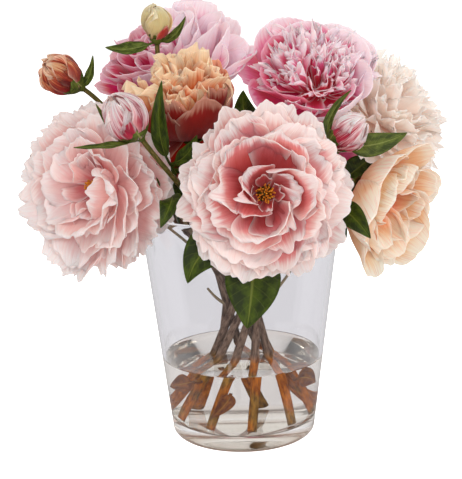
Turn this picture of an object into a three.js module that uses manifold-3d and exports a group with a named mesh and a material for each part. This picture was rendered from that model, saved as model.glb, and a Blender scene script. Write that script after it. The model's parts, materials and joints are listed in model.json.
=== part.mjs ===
// Peonies in a tapered glass vase: nine blooms, four buds, their stems and leaves, and the water they stand in.
// Millimetres, +Z up. The origin is the centre of the vase's foot, and -Y is the side the arrangement faces.
// Each bloom is built about its own axis, with its petals opening towards +Z, and is then turned to face its way.
import * as THREE from "three";
import { mergeVertices } from "three/addons/utils/BufferGeometryUtils.js";
import Module from "manifold-3d";

const wasm = await Module();
wasm.setup();

// ---- Driving dimensions -------------------------------------------------------------------------

const GAP = 0.3; // clearance between pieces that touch
const VASE = { height: 180, footRadius: 56, slope: 0.122, wall: 3, floor: 13, footRound: 5, sides: 40 };
const WATER = { level: 62, sides: 32 };
const STEM = { radius: 3.2, sides: 8, steps: 12 };
const SHOOT = { radius: 1.8, sides: 6, steps: 7 }; // a side shoot that carries a bud
const STALK = { radius: 1.3, sides: 6, steps: 3 }; // the stalk of a compound leaf
const BLADE = { steps: 5, stalkHalf: 1.1, halfThickness: 0.5 };
const NECK = { height: 100, radius: 12.4 }; // where the stems cross and hold each other
const FOOT_SPREAD = 0.5; // how far a stem leans below the neck, per millimetre of height
const RECEPTACLE = { length: 10, radius: 4.2 }; // the swollen end of a stem that carries the sepals
const SHELL = { wall: 3, edge: 1.2, steps: 5 }; // a whorl of outer petals: its thickness, and that of its edge

const COLOURS = {
  glass: 0xdfe9ec, water: 0xf3ead8, stem: 0x7a6248, leaf: 0x3f5a24, oldLeaf: 0x9a6a30, sepal: 0x5c7a35,
  stamen: 0xd9962a,
  blush: 0xf1c6c4, rose: 0xe27aa5, fringe: 0xe489a6, coral: 0xe8955c, cream: 0xf3dcc4, peach: 0xf0bf94,
  budGreen: 0xd9cf8c, budRed: 0xc05a3c, budPink: 0xe8b0b8,
};

// ---- Small helpers ------------------------------------------------------------------------------

const vec = (p) => new THREE.Vector3(...p);
const up = new THREE.Vector3(0, 0, 1);
const vaseRadius = (z) => VASE.footRadius + VASE.slope * z;
const roundMiddle = 0.3 * VASE.footRound; // how far the middle of the foot's rounding stands off each wall

function material(colour, roughness = 0.7, extra = {}) {
  return new THREE.MeshStandardMaterial({ color: colour, roughness, metalness: 0, ...extra });
}

// A closed three.js geometry as a manifold solid, and back again.
function toSolid(geometry) {
  const bare = geometry.clone();
  bare.deleteAttribute("normal");
  bare.deleteAttribute("uv");
  const merged = mergeVertices(bare, 1e-3);
  return new wasm.Manifold(
    new wasm.Mesh({
      numProp: 3,
      vertProperties: merged.attributes.position.array,
      triVerts: new Uint32Array(merged.index.array),
    }),
  );
}

function toGeometry(solid) {
  const mesh = solid.getMesh();
  const positions = new THREE.BufferAttribute(new Float32Array(mesh.vertProperties), mesh.numProp);
  return new THREE.BufferGeometry()
    .setAttribute("position", positions)
    .setIndex(new THREE.BufferAttribute(mesh.triVerts, 1));
}

// Moves each point of a geometry by a function that changes it in place.
function reshape(geometry, move) {
  const position = geometry.attributes.position;
  const point = new THREE.Vector3();
  for (let i = 0; i < position.count; i++) {
    point.fromBufferAttribute(position, i);
    move(point);
    position.setXYZ(i, point.x, point.y, point.z);
  }
  return geometry;
}

// A profile of [radius, height] pairs turned about the Z axis.
function turned(profile, sides) {
  const points = profile.map(([r, z]) => new THREE.Vector2(r, z));
  return new THREE.LatheGeometry(points, sides).rotateX(Math.PI / 2);
}

// A rod of constant radius along a curve.
function rod(curve, radius, sides, steps) {
  const section = new THREE.Shape();
  for (let i = 0; i < sides; i++) {
    const angle = (2 * Math.PI * i) / sides;
    section[i ? "lineTo" : "moveTo"](radius * Math.cos(angle), radius * Math.sin(angle));
  }
  section.closePath();
  return new THREE.ExtrudeGeometry(section, { steps, extrudePath: curve, curveSegments: 1 });
}

// ---- Vase and water -----------------------------------------------------------------------------

function vaseGeometry() {
  const { height, wall, floor, footRound, footRadius, sides } = VASE;
  const rimRound = wall / 2;
  return turned(
    [
      [0, 0],
      [footRadius - footRound, 0],
      [footRadius - roundMiddle, roundMiddle],
      [vaseRadius(footRound), footRound],
      [vaseRadius(height - rimRound), height - rimRound],
      [vaseRadius(height) - rimRound, height],
      [vaseRadius(height - rimRound) - wall, height - rimRound],
      [vaseRadius(floor + footRound) - wall, floor + footRound],
      [vaseRadius(floor) - wall - roundMiddle, floor + roundMiddle],
      [vaseRadius(floor) - wall - footRound, floor],
      [0, floor],
    ],
    sides,
  );
}

function waterSolid(displacers) {
  const { wall, floor, footRound } = VASE;
  const inset = wall + 2 * GAP;
  const body = toSolid(
    turned(
      [
        [0, floor + GAP],
        [vaseRadius(floor) - inset - footRound, floor + GAP],
        [vaseRadius(floor) - inset - roundMiddle, floor + roundMiddle + GAP],
        [vaseRadius(floor + footRound) - inset, floor + footRound],
        [vaseRadius(WATER.level) - inset, WATER.level],
        [0, WATER.level],
      ],
      WATER.sides,
    ),
  );
  return displacers.reduce((water, thing) => water.subtract(thing), body);
}

// ---- Stems --------------------------------------------------------------------------------------

// A stem leans straight through the neck, beside its neighbours, then bends over to meet its bloom.
// Its cut end stands on the vase's floor; extra makes it that much longer there.
class StemCurve extends THREE.Curve {
  constructor(bloom, extra = 0) {
    super();
    const face = vec(bloom.face).normalize();
    const end = vec(bloom.base).addScaledVector(face, -RECEPTACLE.length - GAP);
    const angle = THREE.MathUtils.degToRad(bloom.slot);
    const beside = new THREE.Vector3(Math.cos(angle), Math.sin(angle), 0);
    const lean = new THREE.Vector3(-Math.sin(angle), Math.cos(angle), 0).multiplyScalar(FOOT_SPREAD).add(up);
    const neck = beside.multiplyScalar(NECK.radius).setZ(NECK.height);
    const drop = NECK.height - VASE.floor - GAP - STEM.radius * 0.5;
    const foot = neck.clone().addScaledVector(lean, -drop - extra);
    this.lowerShare = 0.42;
    this.lower = new THREE.LineCurve3(foot, neck);
    this.upper = new THREE.CubicBezierCurve3(
      neck,
      neck.clone().addScaledVector(lean, bloom.reach[0]),
      end.clone().addScaledVector(face, -bloom.reach[1]),
      end,
    );
  }
  getPoint(t, target = new THREE.Vector3()) {
    const s = this.lowerShare;
    return target.copy(t < s ? this.lower.getPoint(t / s) : this.upper.getPoint((t - s) / (1 - s)));
  }
}

// A side shoot starts inside its parent stem, follows it for a while and then carries its bud.
function shootGeometry(bud, parent) {
  const start = parent.getPointAt(bud.ring / STEM.steps);
  const along = parent.getTangentAt(bud.ring / STEM.steps);
  const end = vec(bud.base).addScaledVector(vec(bud.axis).normalize(), -BUD_CUP.length - GAP);
  const curve = new THREE.CubicBezierCurve3(
    start,
    start.clone().addScaledVector(along, bud.reach[0]),
    end.clone().addScaledVector(vec(bud.axis).normalize(), -bud.reach[1]),
    end,
  );
  return rod(curve, SHOOT.radius, SHOOT.sides, SHOOT.steps);
}

// ---- Petals -------------------------------------------------------------------------------------

// The underside of a bloom is an arc that leaves the receptacle level and turns up by openness degrees.
function arc(bloom) {
  const { radius, depth } = bloom;
  const turn = THREE.MathUtils.degToRad(bloom.openness);
  const widest = Math.sin(Math.min(turn, Math.PI / 2));
  const rise = depth / (1 - Math.cos(turn));
  const at = (s) => [(radius * Math.sin(turn * s)) / widest, rise * (1 - Math.cos(turn * s))];
  const heightAt = (r) => rise * (1 - Math.cos(Math.asin(Math.min(1, (r / radius) * widest))));
  return { at, heightAt };
}

// Ruffles bend space about the bloom's axis, so whorls that are nested before stay nested after.
function ruffle(bloom, geometry) {
  const { radius, lobes, wave } = bloom;
  return reshape(geometry, (p) => {
    const angle = Math.atan2(p.y, p.x);
    const out = Math.min(1.2, Math.hypot(p.x, p.y) / radius) ** 2;
    const swell = 1 + 0.05 * out * Math.sin(lobes * angle);
    p.x *= swell;
    p.y *= swell;
    p.z += wave * out * Math.sin((lobes - 2) * angle + 1);
  });
}

// The arc moved inwards by a thickness, at share s of its length.
function insideArc(at, s, thickness) {
  const [r, z] = at(s);
  const [r1, z1] = at(s + 0.01);
  const slope = Math.atan2(z1 - z, r1 - r);
  return [Math.max(0, r - thickness * Math.sin(slope)), z + thickness * Math.cos(slope)];
}

function outerPetals(bloom) {
  const { at } = arc(bloom);
  const outside = [];
  const inside = [];
  for (let i = 0; i <= SHELL.steps; i++) {
    const thickness = i === SHELL.steps ? SHELL.edge : SHELL.wall;
    outside.push(at(i / SHELL.steps));
    inside.unshift(i ? insideArc(at, i / SHELL.steps, thickness) : [0, SHELL.wall]);
  }
  return ruffle(bloom, turned([...outside, ...inside], bloom.sides));
}

// The heap of inner petals fills the bowl, with a crown and, where the stamens show, a hollow.
function innerPetals(bloom) {
  const { at } = arc(bloom);
  const { crown, hollow, radius } = bloom;
  const seat = SHELL.wall + 2.5 * GAP;
  const profile = [[0, seat]];
  for (let i = 1; i < SHELL.steps; i++) profile.push(insideArc(at, i / SHELL.steps, seat));
  const [edgeRadius, edgeHeight] = profile.at(-1);
  const above = crown - edgeHeight;
  profile.push([edgeRadius * 0.96, edgeHeight + 0.45 * above], [edgeRadius * 0.72, edgeHeight + 0.92 * above]);
  if (hollow) {
    profile.push([radius * 0.3, crown], [hollow.radius, crown - 0.3 * hollow.depth]);
    profile.push([hollow.radius * 0.7, crown - hollow.depth], [0, crown - hollow.depth]);
  } else {
    profile.push([radius * 0.3, crown], [0, crown + 1]);
  }
  return ruffle(bloom, turned(profile, bloom.sides));
}

function stamens({ crown, hollow }) {
  const bottom = crown - hollow.depth + GAP;
  const r = hollow.radius * 0.62;
  return turned([[0, bottom], [r * 0.8, bottom], [r, bottom + 7], [r * 0.5, bottom + 10], [0, bottom + 11]], 10);
}

// The receptacle is the stem's swollen end. From it five sepals spread along the underside of the petals.
function sepals(bloom) {
  const { heightAt } = arc(bloom);
  const { length, radius } = RECEPTACLE;
  const lobes = 5;
  const narrowing = 0.75; // how deep the notches between the sepals are
  const reach = Math.min(22, bloom.radius * 0.42);
  const under = (r) => heightAt(r) - 2 * GAP;
  const points = [
    [0, -length],
    [radius, -length],
    [radius * 1.7, -length * 0.45],
    [reach * 0.6, under(reach * 0.6) - 2.2],
    [reach, under(reach) - 0.8],
    [reach, under(reach)],
    [reach * 0.55, under(reach * 0.55)],
    [0, under(0)],
  ];
  const cup = reshape(turned(points, 4 * lobes), (p) => {
    const r = Math.hypot(p.x, p.y);
    const beyond = Math.max(0, r - radius * 1.7);
    const lobe = 0.5 + 0.5 * Math.cos(lobes * Math.atan2(p.y, p.x));
    const shrink = r > 0 ? (r - beyond * narrowing * (1 - lobe)) / r : 1;
    p.z += heightAt(r * shrink) - heightAt(r);
    p.x *= shrink;
    p.y *= shrink;
  });
  return ruffle(bloom, cup);
}

// ---- Buds ---------------------------------------------------------------------------------------

// A bud is this outline, as shares of its radius and its length, turned about its axis.
const BUD_OUTLINE = [[0, 0], [0.55, 0.06], [0.88, 0.24], [1, 0.5], [0.86, 0.74], [0.5, 0.93], [0, 1]];
const BUD_CUP = { length: 5, thickness: 1.8, lip: 1.5 };
const BUD_SIDES = 10;

function budPetals({ radius, length }) {
  return turned(BUD_OUTLINE.map(([r, z]) => [r * radius, z * length]), BUD_SIDES);
}

// The cup of sepals hugs the lowest quarter of the bud.
function budCup({ radius, length }) {
  const [low, high] = BUD_OUTLINE.slice(1, 3).map(([r, z]) => [r * radius, z * length]);
  const outside = ([r, z], out) => [r + out, z - out / 2];
  const clear = 1.6 * GAP;
  return turned(
    [
      [0, -BUD_CUP.length],
      [SHOOT.radius + 0.8, -BUD_CUP.length],
      outside(low, BUD_CUP.thickness + clear),
      outside(high, BUD_CUP.thickness),
      [high[0] + clear + 0.8, high[1] + BUD_CUP.lip],
      outside(high, clear),
      outside(low, clear),
      [0, -clear],
    ],
    BUD_SIDES,
  );
}

// ---- Leaves -------------------------------------------------------------------------------------

// A blade: a box bent along a curve of three points, narrow at its base, then wide, then pointed.
// It is folded a little along its midrib, and its upper side looks along facing. grow swells it all round.
function blade({ points, width, facing, stalk = 0.15, grow = 0 }) {
  const spine = new THREE.QuadraticBezierCurve3(...points.map(vec));
  const face = vec(facing).normalize();
  const stretch = 1 + (2 * grow) / spine.getLength();
  const halfWidth = (t) => {
    const s = THREE.MathUtils.clamp((t - stalk) / (1 - stalk), 0, 1);
    const belly = Math.sin(Math.PI * s ** 0.8) ** 0.85 * (1 - 0.25 * s);
    return BLADE.stalkHalf + (width / 2 - BLADE.stalkHalf) * belly - 0.8 * s;
  };
  return reshape(new THREE.BoxGeometry(2, 1, 2, 2, BLADE.steps, 1), (p) => {
    const t = 0.5 + p.y;
    const centre = spine.getPoint(0.5 + p.y * stretch);
    const tangent = spine.getTangent(t);
    const side = new THREE.Vector3().crossVectors(tangent, face).normalize();
    const normal = new THREE.Vector3().crossVectors(side, tangent);
    const half = halfWidth(t);
    const fold = 0.16 * (half - BLADE.stalkHalf) * Math.abs(p.x);
    const across = p.x * (half + grow);
    const thickness = p.z * (BLADE.halfThickness + 0.6 * Math.max(0, 1 - t / stalk) + grow);
    p.copy(centre).addScaledVector(side, across).addScaledVector(normal, fold + thickness);
  });
}

// A compound leaf: a stalk that leaves its stem square to it and ends at the hub, where the leaflets start.
function leafSolid({ parent, ring, out, bow, hub, leaflets }, curves, grow = 0) {
  const curve = curves[parent];
  const along = curve.getTangentAt(ring / STEM.steps);
  const away = vec(out);
  away.addScaledVector(along, -away.dot(along)).normalize();
  const centre = curve.getPointAt(ring / STEM.steps);
  const start = centre.clone().addScaledVector(away, STEM.radius + GAP - grow);
  const knee = centre.clone().addScaledVector(away, STEM.radius + bow);
  const stalkCurve = new THREE.QuadraticBezierCurve3(start, knee, vec(hub));
  const stalk = toSolid(rod(stalkCurve, STALK.radius + grow, STALK.sides, STALK.steps));
  return leaflets.reduce(
    (leaf, { knee, tip, ...rest }) => leaf.add(toSolid(blade({ points: [hub, knee, tip], grow, ...rest }))),
    stalk,
  );
}

// ---- The arrangement ----------------------------------------------------------------------------

// base is the top of the receptacle, face the way the bloom looks, slot the stem's place round the neck in
// degrees, and reach how stiffly the stem leaves the neck and meets the bloom.
const BLOOMS = [
  {
    name: "front_peony", colour: COLOURS.blush, base: [16, -86, 205], face: [0, -0.98, 0.16], slot: -90,
    radius: 61, depth: 20, openness: 58, crown: 34, hollow: { radius: 12, depth: 16 }, lobes: 8, wave: 3,
    reach: [50, 34],
  },
  {
    name: "left_peony", colour: COLOURS.blush, base: [-100, -22, 203], face: [-0.56, -0.82, 0.1], slot: -168,
    radius: 66, depth: 20, openness: 58, crown: 33, hollow: { radius: 12, depth: 15 }, lobes: 9, wave: 3,
    reach: [50, 30],
  },
  {
    name: "back_left_peony", colour: COLOURS.rose, base: [-47, 70, 266], face: [-0.16, -0.52, 0.84], slot: 152,
    radius: 58, depth: 38, openness: 86, crown: 48, lobes: 7, wave: 3, reach: [75, 50],
  },
  {
    name: "back_right_peony", colour: COLOURS.fringe, base: [63, 34, 265], face: [-0.05, -0.72, 0.7], slot: -10,
    radius: 52, depth: 24, openness: 74, crown: 40, lobes: 6, wave: 2, reach: [60, 50],
  },
  {
    name: "coral_peony", colour: COLOURS.coral, base: [-36, -22, 242], face: [-0.04, -0.45, 0.9], slot: -130,
    radius: 32, depth: 36, openness: 100, crown: 52, lobes: 6, wave: 1.5, reach: [50, 45],
  },
  {
    name: "cream_peony", colour: COLOURS.cream, base: [115, 60, 236], face: [0.62, -0.5, 0.6], slot: 32,
    radius: 43, depth: 26, openness: 76, crown: 40, lobes: 8, wave: 3, reach: [75, 30],
  },
  {
    name: "peach_peony", colour: COLOURS.peach, base: [92, -14, 192], face: [0.74, -0.6, -0.28], slot: -50,
    radius: 42, depth: 36, openness: 92, crown: 32, hollow: { radius: 9, depth: 9 }, lobes: 5, wave: 2,
    reach: [55, 30],
  },
  {
    name: "rear_left_peony", colour: COLOURS.blush, base: [-56, 84, 202], face: [-0.5, 0.84, 0.12], slot: 110,
    radius: 50, depth: 22, openness: 66, crown: 34, lobes: 8, wave: 3, reach: [42, 34],
  },
  {
    name: "rear_right_peony", colour: COLOURS.rose, base: [62, 84, 202], face: [0.52, 0.82, 0.2], slot: 70,
    radius: 48, depth: 26, openness: 74, crown: 36, lobes: 7, wave: 3, reach: [50, 34],
  },
];
const PETAL_SIDES = 17; // facets round a whorl of petals

// A bud rides on a shoot that branches from its parent's stem at a ring, counted from the foot in steps of the
// stem. reach is how long the shoot follows the stem and the bud's axis. bracts are the narrow leaves at its foot.
const BUDS = [
  {
    name: "top_bud", colour: COLOURS.budGreen, base: [-59, -2, 310], axis: [0, 0, 1], radius: 11, length: 27,
    parent: "coral_peony", ring: 8, reach: [16, 60],
    bracts: [
      { points: [[-60, -3, 307], [-80, -6, 299], [-97, -9, 304]], width: 11, facing: [0.1, -0.6, 0.8] },
      { points: [[-58, -3, 307], [-44, -6, 307], [-37, -9, 325]], width: 9, facing: [-0.4, -0.8, 0.4] },
    ],
  },
  {
    name: "left_bud", colour: COLOURS.budRed, base: [-119, -4, 276], axis: [-0.78, -0.22, 0.58], radius: 14,
    length: 29, parent: "left_peony", ring: 7, reach: [12, 40],
    bracts: [{ points: [[-118, -4, 274], [-108, -4, 280], [-107, -5, 298]], width: 9, facing: [-0.5, -0.8, 0] }],
  },
  {
    name: "middle_bud", colour: COLOURS.budPink, base: [-70, -79, 247], axis: [-0.5, -0.3, 0.81], radius: 14,
    length: 31, parent: "coral_peony", ring: 7, reach: [16, 26],
    bracts: [
      { points: [[-71, -81, 243], [-90, -94, 240], [-113, -95, 241]], width: 9, facing: [0, -0.4, 0.9] },
      { points: [[-70, -74, 243], [-88, -66, 242], [-99, -72, 268]], width: 9, facing: [0.5, -0.8, 0.4] },
    ],
  },
  {
    name: "right_bud", colour: COLOURS.budPink, base: [68, -62, 234], axis: [0.5, -0.4, 0.77], radius: 13,
    length: 28, parent: "peach_peony", ring: 8, reach: [14, 26],
    bracts: [
      { points: [[69, -64, 229], [90, -74, 223], [117, -72, 241]], width: 16, facing: [-0.1, -0.8, 0.5] },
      { points: [[64, -57, 232], [58, -48, 252], [80, -54, 272]], width: 9, facing: [-0.6, -0.7, 0.2] },
    ],
  },
];

// A leaf's stalk leaves its parent's stem at a ring. out and bow say which way and how far it goes before it
// turns to the hub.
const LEAVES = [
  {
    name: "front_leaf", parent: "front_peony", ring: 11, out: [0, -0.3, -1], bow: 6, hub: [9, -82, 178],
    leaflets: [
      { knee: [8, -84, 140], tip: [2, -90, 109], width: 42, facing: [0, -1, 0.1] },
      { knee: [-18, -84, 172], tip: [-39, -85, 143], width: 26, facing: [-0.2, -1, 0.1] },
    ],
  },
  {
    name: "left_leaf", parent: "left_peony", ring: 9, out: [0.3, -1, 0], bow: 8, hub: [-50, -50, 198],
    leaflets: [
      { knee: [-46, -76, 204], tip: [-57, -80, 181], width: 18, facing: [-0.2, -0.8, 0.4] },
      { knee: [-54, -44, 210], tip: [-58, -50, 232], width: 16, facing: [0.2, -1, 0.2] },
    ],
  },
  {
    name: "right_leaf", parent: "peach_peony", ring: 9, out: [0, -1, 0], bow: 8, hub: [68, -56, 190],
    leaflets: [
      { knee: [76, -70, 192], tip: [91, -72, 169], width: 16, facing: [0, -1, 0.1] },
      { knee: [70, -64, 180], tip: [72, -72, 160], width: 14, facing: [-0.2, -1, 0.1] },
    ],
  },
  {
    name: "edge_leaf", parent: "left_peony", ring: 11, out: [-0.3, 1, 0.3], bow: 8, hub: [-104, 4, 206],
    leaflets: [{ knee: [-130, 26, 216], tip: [-168, 14, 206], width: 24, facing: [0, 0.8, 0.6] }],
  },
  {
    name: "coral_leaf", parent: "coral_peony", ring: 11, out: [-0.3, -1, 0], bow: 8, hub: [-50, -52, 222],
    leaflets: [
      { knee: [-60, -78, 244], tip: [-53, -72, 283], width: 14, facing: [-0.2, -1, 0.1] },
      { knee: [-36, -60, 226], tip: [-30, -66, 244], width: 13, facing: [0, -0.9, 0.3] },
    ],
  },
  {
    name: "middle_leaf", parent: "back_right_peony", ring: 10, out: [-0.6, -0.8, 0], bow: 10, hub: [14, -6, 232],
    leaflets: [
      { knee: [2, -22, 250], tip: [4, -34, 272], width: 22, facing: [0, -0.9, 0.4] },
      { knee: [26, -28, 236], tip: [44, -44, 244], width: 18, facing: [0, -0.7, 0.7] },
    ],
  },
  {
    name: "rear_left_leaf", parent: "rear_left_peony", ring: 10, out: [0.6, 0.5, -0.4], bow: 8, hub: [-20, 76, 192],
    leaflets: [
      { knee: [-14, 92, 176], tip: [-14, 94, 124], width: 34, facing: [0, 1, 0.2] },
      { knee: [2, 84, 214], tip: [6, 94, 244], width: 24, facing: [0, 1, 0.2] },
    ],
  },
  {
    name: "rear_right_leaf", parent: "cream_peony", ring: 10, out: [0.6, -0.5, -0.6], bow: 8, hub: [86, 52, 190],
    leaflets: [
      { knee: [102, 52, 186], tip: [116, 56, 160], width: 28, facing: [0.7, 0.3, 0.6] },
      { knee: [104, 40, 198], tip: [128, 30, 190], width: 22, facing: [0.7, -0.2, 0.6] },
    ],
  },
  {
    name: "sunken_left_leaf", parent: "front_peony", ring: 2, out: [-0.3, -1, 0.2], bow: 3, hub: [-33, -22, 50],
    leaflets: [{ knee: [-42, -24, 52], tip: [-50, -17, 38], width: 15, facing: [-0.2, -1, 0.3] }],
  },
  {
    name: "sunken_middle_leaf", parent: "peach_peony", ring: 1, out: [0.5, -1, 0.2], bow: 3, hub: [-9, -38, 45],
    leaflets: [{ knee: [-4, -44, 46], tip: [-11, -47, 30], width: 13, facing: [0.2, -1, 0.3] }],
  },
  {
    name: "sunken_right_leaf", parent: "cream_peony", ring: 2, out: [1, -0.5, 0.2], bow: 3, hub: [34, -24, 50],
    leaflets: [{ knee: [42, -26, 54], tip: [48, -22, 42], width: 12, facing: [0.3, -1, 0.4] }],
  },
];

const arrangement = new THREE.Group();

function add(name, geometry, finish) {
  const mesh = new THREE.Mesh(geometry, finish);
  mesh.name = name;
  arrangement.add(mesh);
  return mesh;
}

// Adds a piece that is built about the Z axis and turns it to look along a direction from its place.
function addFacing(name, geometry, finish, at, direction) {
  const mesh = add(name, geometry, finish);
  mesh.position.copy(vec(at));
  mesh.quaternion.setFromUnitVectors(up, vec(direction).normalize());
}

const curves = {};
const displacers = []; // what stands in the water, a little swollen
for (const bloom of BLOOMS) {
  const { name, base, face, colour } = bloom;
  const shape = { sides: PETAL_SIDES, ...bloom };
  curves[name] = new StemCurve(bloom);
  displacers.push(toSolid(rod(new StemCurve(bloom, GAP), STEM.radius + GAP, STEM.sides, STEM.steps)));
  const shoots = BUDS.filter((bud) => bud.parent === name).map((bud) => toSolid(shootGeometry(bud, curves[name])));
  const stem = toSolid(rod(curves[name], STEM.radius, STEM.sides, STEM.steps));
  add(`${name}_stem`, toGeometry(shoots.reduce((all, shoot) => all.add(shoot), stem)), material(COLOURS.stem));
  addFacing(`${name}_sepals`, sepals(shape), material(COLOURS.sepal), base, face);
  addFacing(`${name}_outer_petals`, outerPetals(shape), material(colour), base, face);
  addFacing(`${name}_inner_petals`, innerPetals(shape), material(colour), base, face);
  if (bloom.hollow) addFacing(`${name}_stamens`, stamens(shape), material(COLOURS.stamen), base, face);
}

for (const bud of BUDS) {
  const { name, base, axis, colour, bracts } = bud;
  addFacing(`${name}_petals`, budPetals(bud), material(colour), base, axis);
  const place = new THREE.Matrix4().makeRotationFromQuaternion(
    new THREE.Quaternion().setFromUnitVectors(up, vec(axis).normalize()),
  );
  const cup = budCup(bud).applyMatrix4(place.setPosition(...base));
  const calyx = bracts.reduce((all, bract) => all.add(toSolid(blade(bract))), toSolid(cup));
  add(`${name}_calyx`, toGeometry(calyx), material(COLOURS.sepal));
}

for (const leaf of LEAVES) {
  const sunken = leaf.name.startsWith("sunken");
  add(leaf.name, toGeometry(leafSolid(leaf, curves)), material(sunken ? COLOURS.oldLeaf : COLOURS.leaf));
  if (sunken) displacers.push(leafSolid(leaf, curves, 2 * GAP));
}

add("vase", vaseGeometry(), material(COLOURS.glass, 0.05, { transparent: true, opacity: 0.35 }));
add("water", toGeometry(waterSolid(displacers)), material(COLOURS.water, 0.05, { transparent: true, opacity: 0.5 }));

export default arrangement;
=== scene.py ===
# %% [markdown]
# Peonies in a glass vase.
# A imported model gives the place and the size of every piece: the vase, the water, nine blooms, four buds,
# their stems and their leaves. This lesson makes the fine surface of each one. Everything is measured in
# millimetres while it is being shaped, as a maker would measure a bouquet, and each mesh is brought to
# metres at the end.

# %% The frame that every piece is made around
import json
import math
import random

import bmesh
import bpy
import numpy as np
from mathutils import Matrix, Vector

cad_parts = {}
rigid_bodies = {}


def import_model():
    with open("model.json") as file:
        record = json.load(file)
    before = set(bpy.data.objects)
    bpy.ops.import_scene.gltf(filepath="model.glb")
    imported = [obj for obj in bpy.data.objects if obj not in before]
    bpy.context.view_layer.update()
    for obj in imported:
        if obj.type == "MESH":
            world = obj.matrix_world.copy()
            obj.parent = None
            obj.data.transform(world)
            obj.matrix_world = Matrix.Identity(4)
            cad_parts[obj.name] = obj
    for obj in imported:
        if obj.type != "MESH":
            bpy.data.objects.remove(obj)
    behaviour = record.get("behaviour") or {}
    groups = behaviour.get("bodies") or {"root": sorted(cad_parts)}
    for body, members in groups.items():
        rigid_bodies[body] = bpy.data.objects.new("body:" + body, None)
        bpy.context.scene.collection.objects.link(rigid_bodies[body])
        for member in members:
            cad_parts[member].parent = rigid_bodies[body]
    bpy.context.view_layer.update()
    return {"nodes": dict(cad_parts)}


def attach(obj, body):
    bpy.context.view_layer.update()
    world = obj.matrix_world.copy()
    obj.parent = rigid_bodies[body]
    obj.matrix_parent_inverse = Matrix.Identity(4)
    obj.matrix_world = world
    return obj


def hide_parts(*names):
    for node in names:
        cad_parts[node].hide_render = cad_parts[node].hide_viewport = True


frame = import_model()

scene = bpy.context.scene
MM = 0.001
print("nodes in the frame:", len(frame["nodes"]))

# %% [markdown]
# The camera comes first, so that every later choice can be judged through it. A wide lens close by would
# spread the vase's sides and swell the nearest bloom. A long lens of 84 mm, 0.85 m in front and a little
# above the flowers, keeps the sides nearly straight. It is aimed by three angles, in degrees, as a tripod's
# head is.

# %% Camera
CAMERA = {"place": (-0.0138, -0.850, 0.338), "pitch": 12.2, "yaw": 0.45, "roll": -1.3, "lens": 84.1}


def add_camera():
    pitch, yaw, roll = (math.radians(CAMERA[k]) for k in ("pitch", "yaw", "roll"))
    ahead = Vector((math.sin(yaw) * math.cos(pitch), math.cos(yaw) * math.cos(pitch), -math.sin(pitch)))
    right = Vector((math.cos(yaw), -math.sin(yaw), 0))
    above = right.cross(ahead)
    turn = Matrix((right, above, -ahead)).transposed().to_4x4() @ Matrix.Rotation(roll, 4, "Z")
    lens = bpy.data.cameras.new("camera")
    lens.lens = CAMERA["lens"]
    lens.sensor_width = 36
    eye = bpy.data.objects.new("camera", lens)
    eye.matrix_world = Matrix.Translation(CAMERA["place"]) @ turn
    scene.collection.objects.link(eye)
    scene.camera = eye
    print("camera:", CAMERA["lens"], "mm lens at", CAMERA["place"])


add_camera()

# %% [markdown]
# The lamps. Petals are read by the gentle shade in their folds, so no lamp is hard: one large soft disk
# stands high on the left in front, another straight in front, and weaker ones stand on the right and behind.
# A real studio's lamps would show as hot spots in the glass. These are hidden from what the glass lets
# through, and the lamp behind is hidden from gloss too.

# %% Lamps
LAMPS = {
    "key": {"place": (-0.75, -1.05, 1.25), "size": 0.9, "watts": 7.9, "tint": (1.0, 0.97, 0.94)},
    "front": {"place": (0.25, -1.5, 0.55), "size": 0.8, "watts": 8.4, "tint": (1.0, 0.97, 0.95)},
    "side": {"place": (1.2, -0.3, 0.7), "size": 1.0, "watts": 4.9, "tint": (1.0, 0.98, 0.97)},
    "rim": {"place": (0.2, 1.6, 1.3), "size": 2.4, "watts": 11.5, "tint": (1.0, 0.98, 0.97)},
}
AIM = Vector((0, 0, 0.2))


def add_lamp(name, place, size, watts, tint):
    lamp = bpy.data.lights.new(name, "AREA")
    lamp.shape, lamp.size, lamp.energy, lamp.color = "DISK", size, watts, tint
    holder = bpy.data.objects.new(name, lamp)
    holder.location = place
    holder.visible_transmission = False
    holder.visible_glossy = name != "rim"
    holder.rotation_euler = (AIM - Vector(place)).to_track_quat("-Z", "Y").to_euler()
    scene.collection.objects.link(holder)


for name, lamp in LAMPS.items():
    add_lamp(name, **lamp)
scene.view_settings.view_transform = "Standard"
print("lamps:", ", ".join(f"{name} {lamp['watts']} W" for name, lamp in LAMPS.items()))

# %% [markdown]
# Short words for nodes. A finish can be wired by hand in the shader editor, but a script that makes a dozen
# of them is easier to read when each common node is one word. A Wiring, w for short, holds one material's or
# one group's tree. A word that is given a socket links it, and one that is given a number or a colour sets
# it.

# %% Colours
def paint(code):
    """A colour written as six hex digits, as the linear light that a shader wants."""
    parts = [int(code[i:i + 2], 16) / 255 for i in (0, 2, 4)]
    linear = [p / 12.92 if p <= 0.04045 else ((p + 0.055) / 1.055) ** 2.4 for p in parts]
    return (*linear, 1.0)


print("cream, as light:", [round(part, 3) for part in paint("F8E0D2")])


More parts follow.
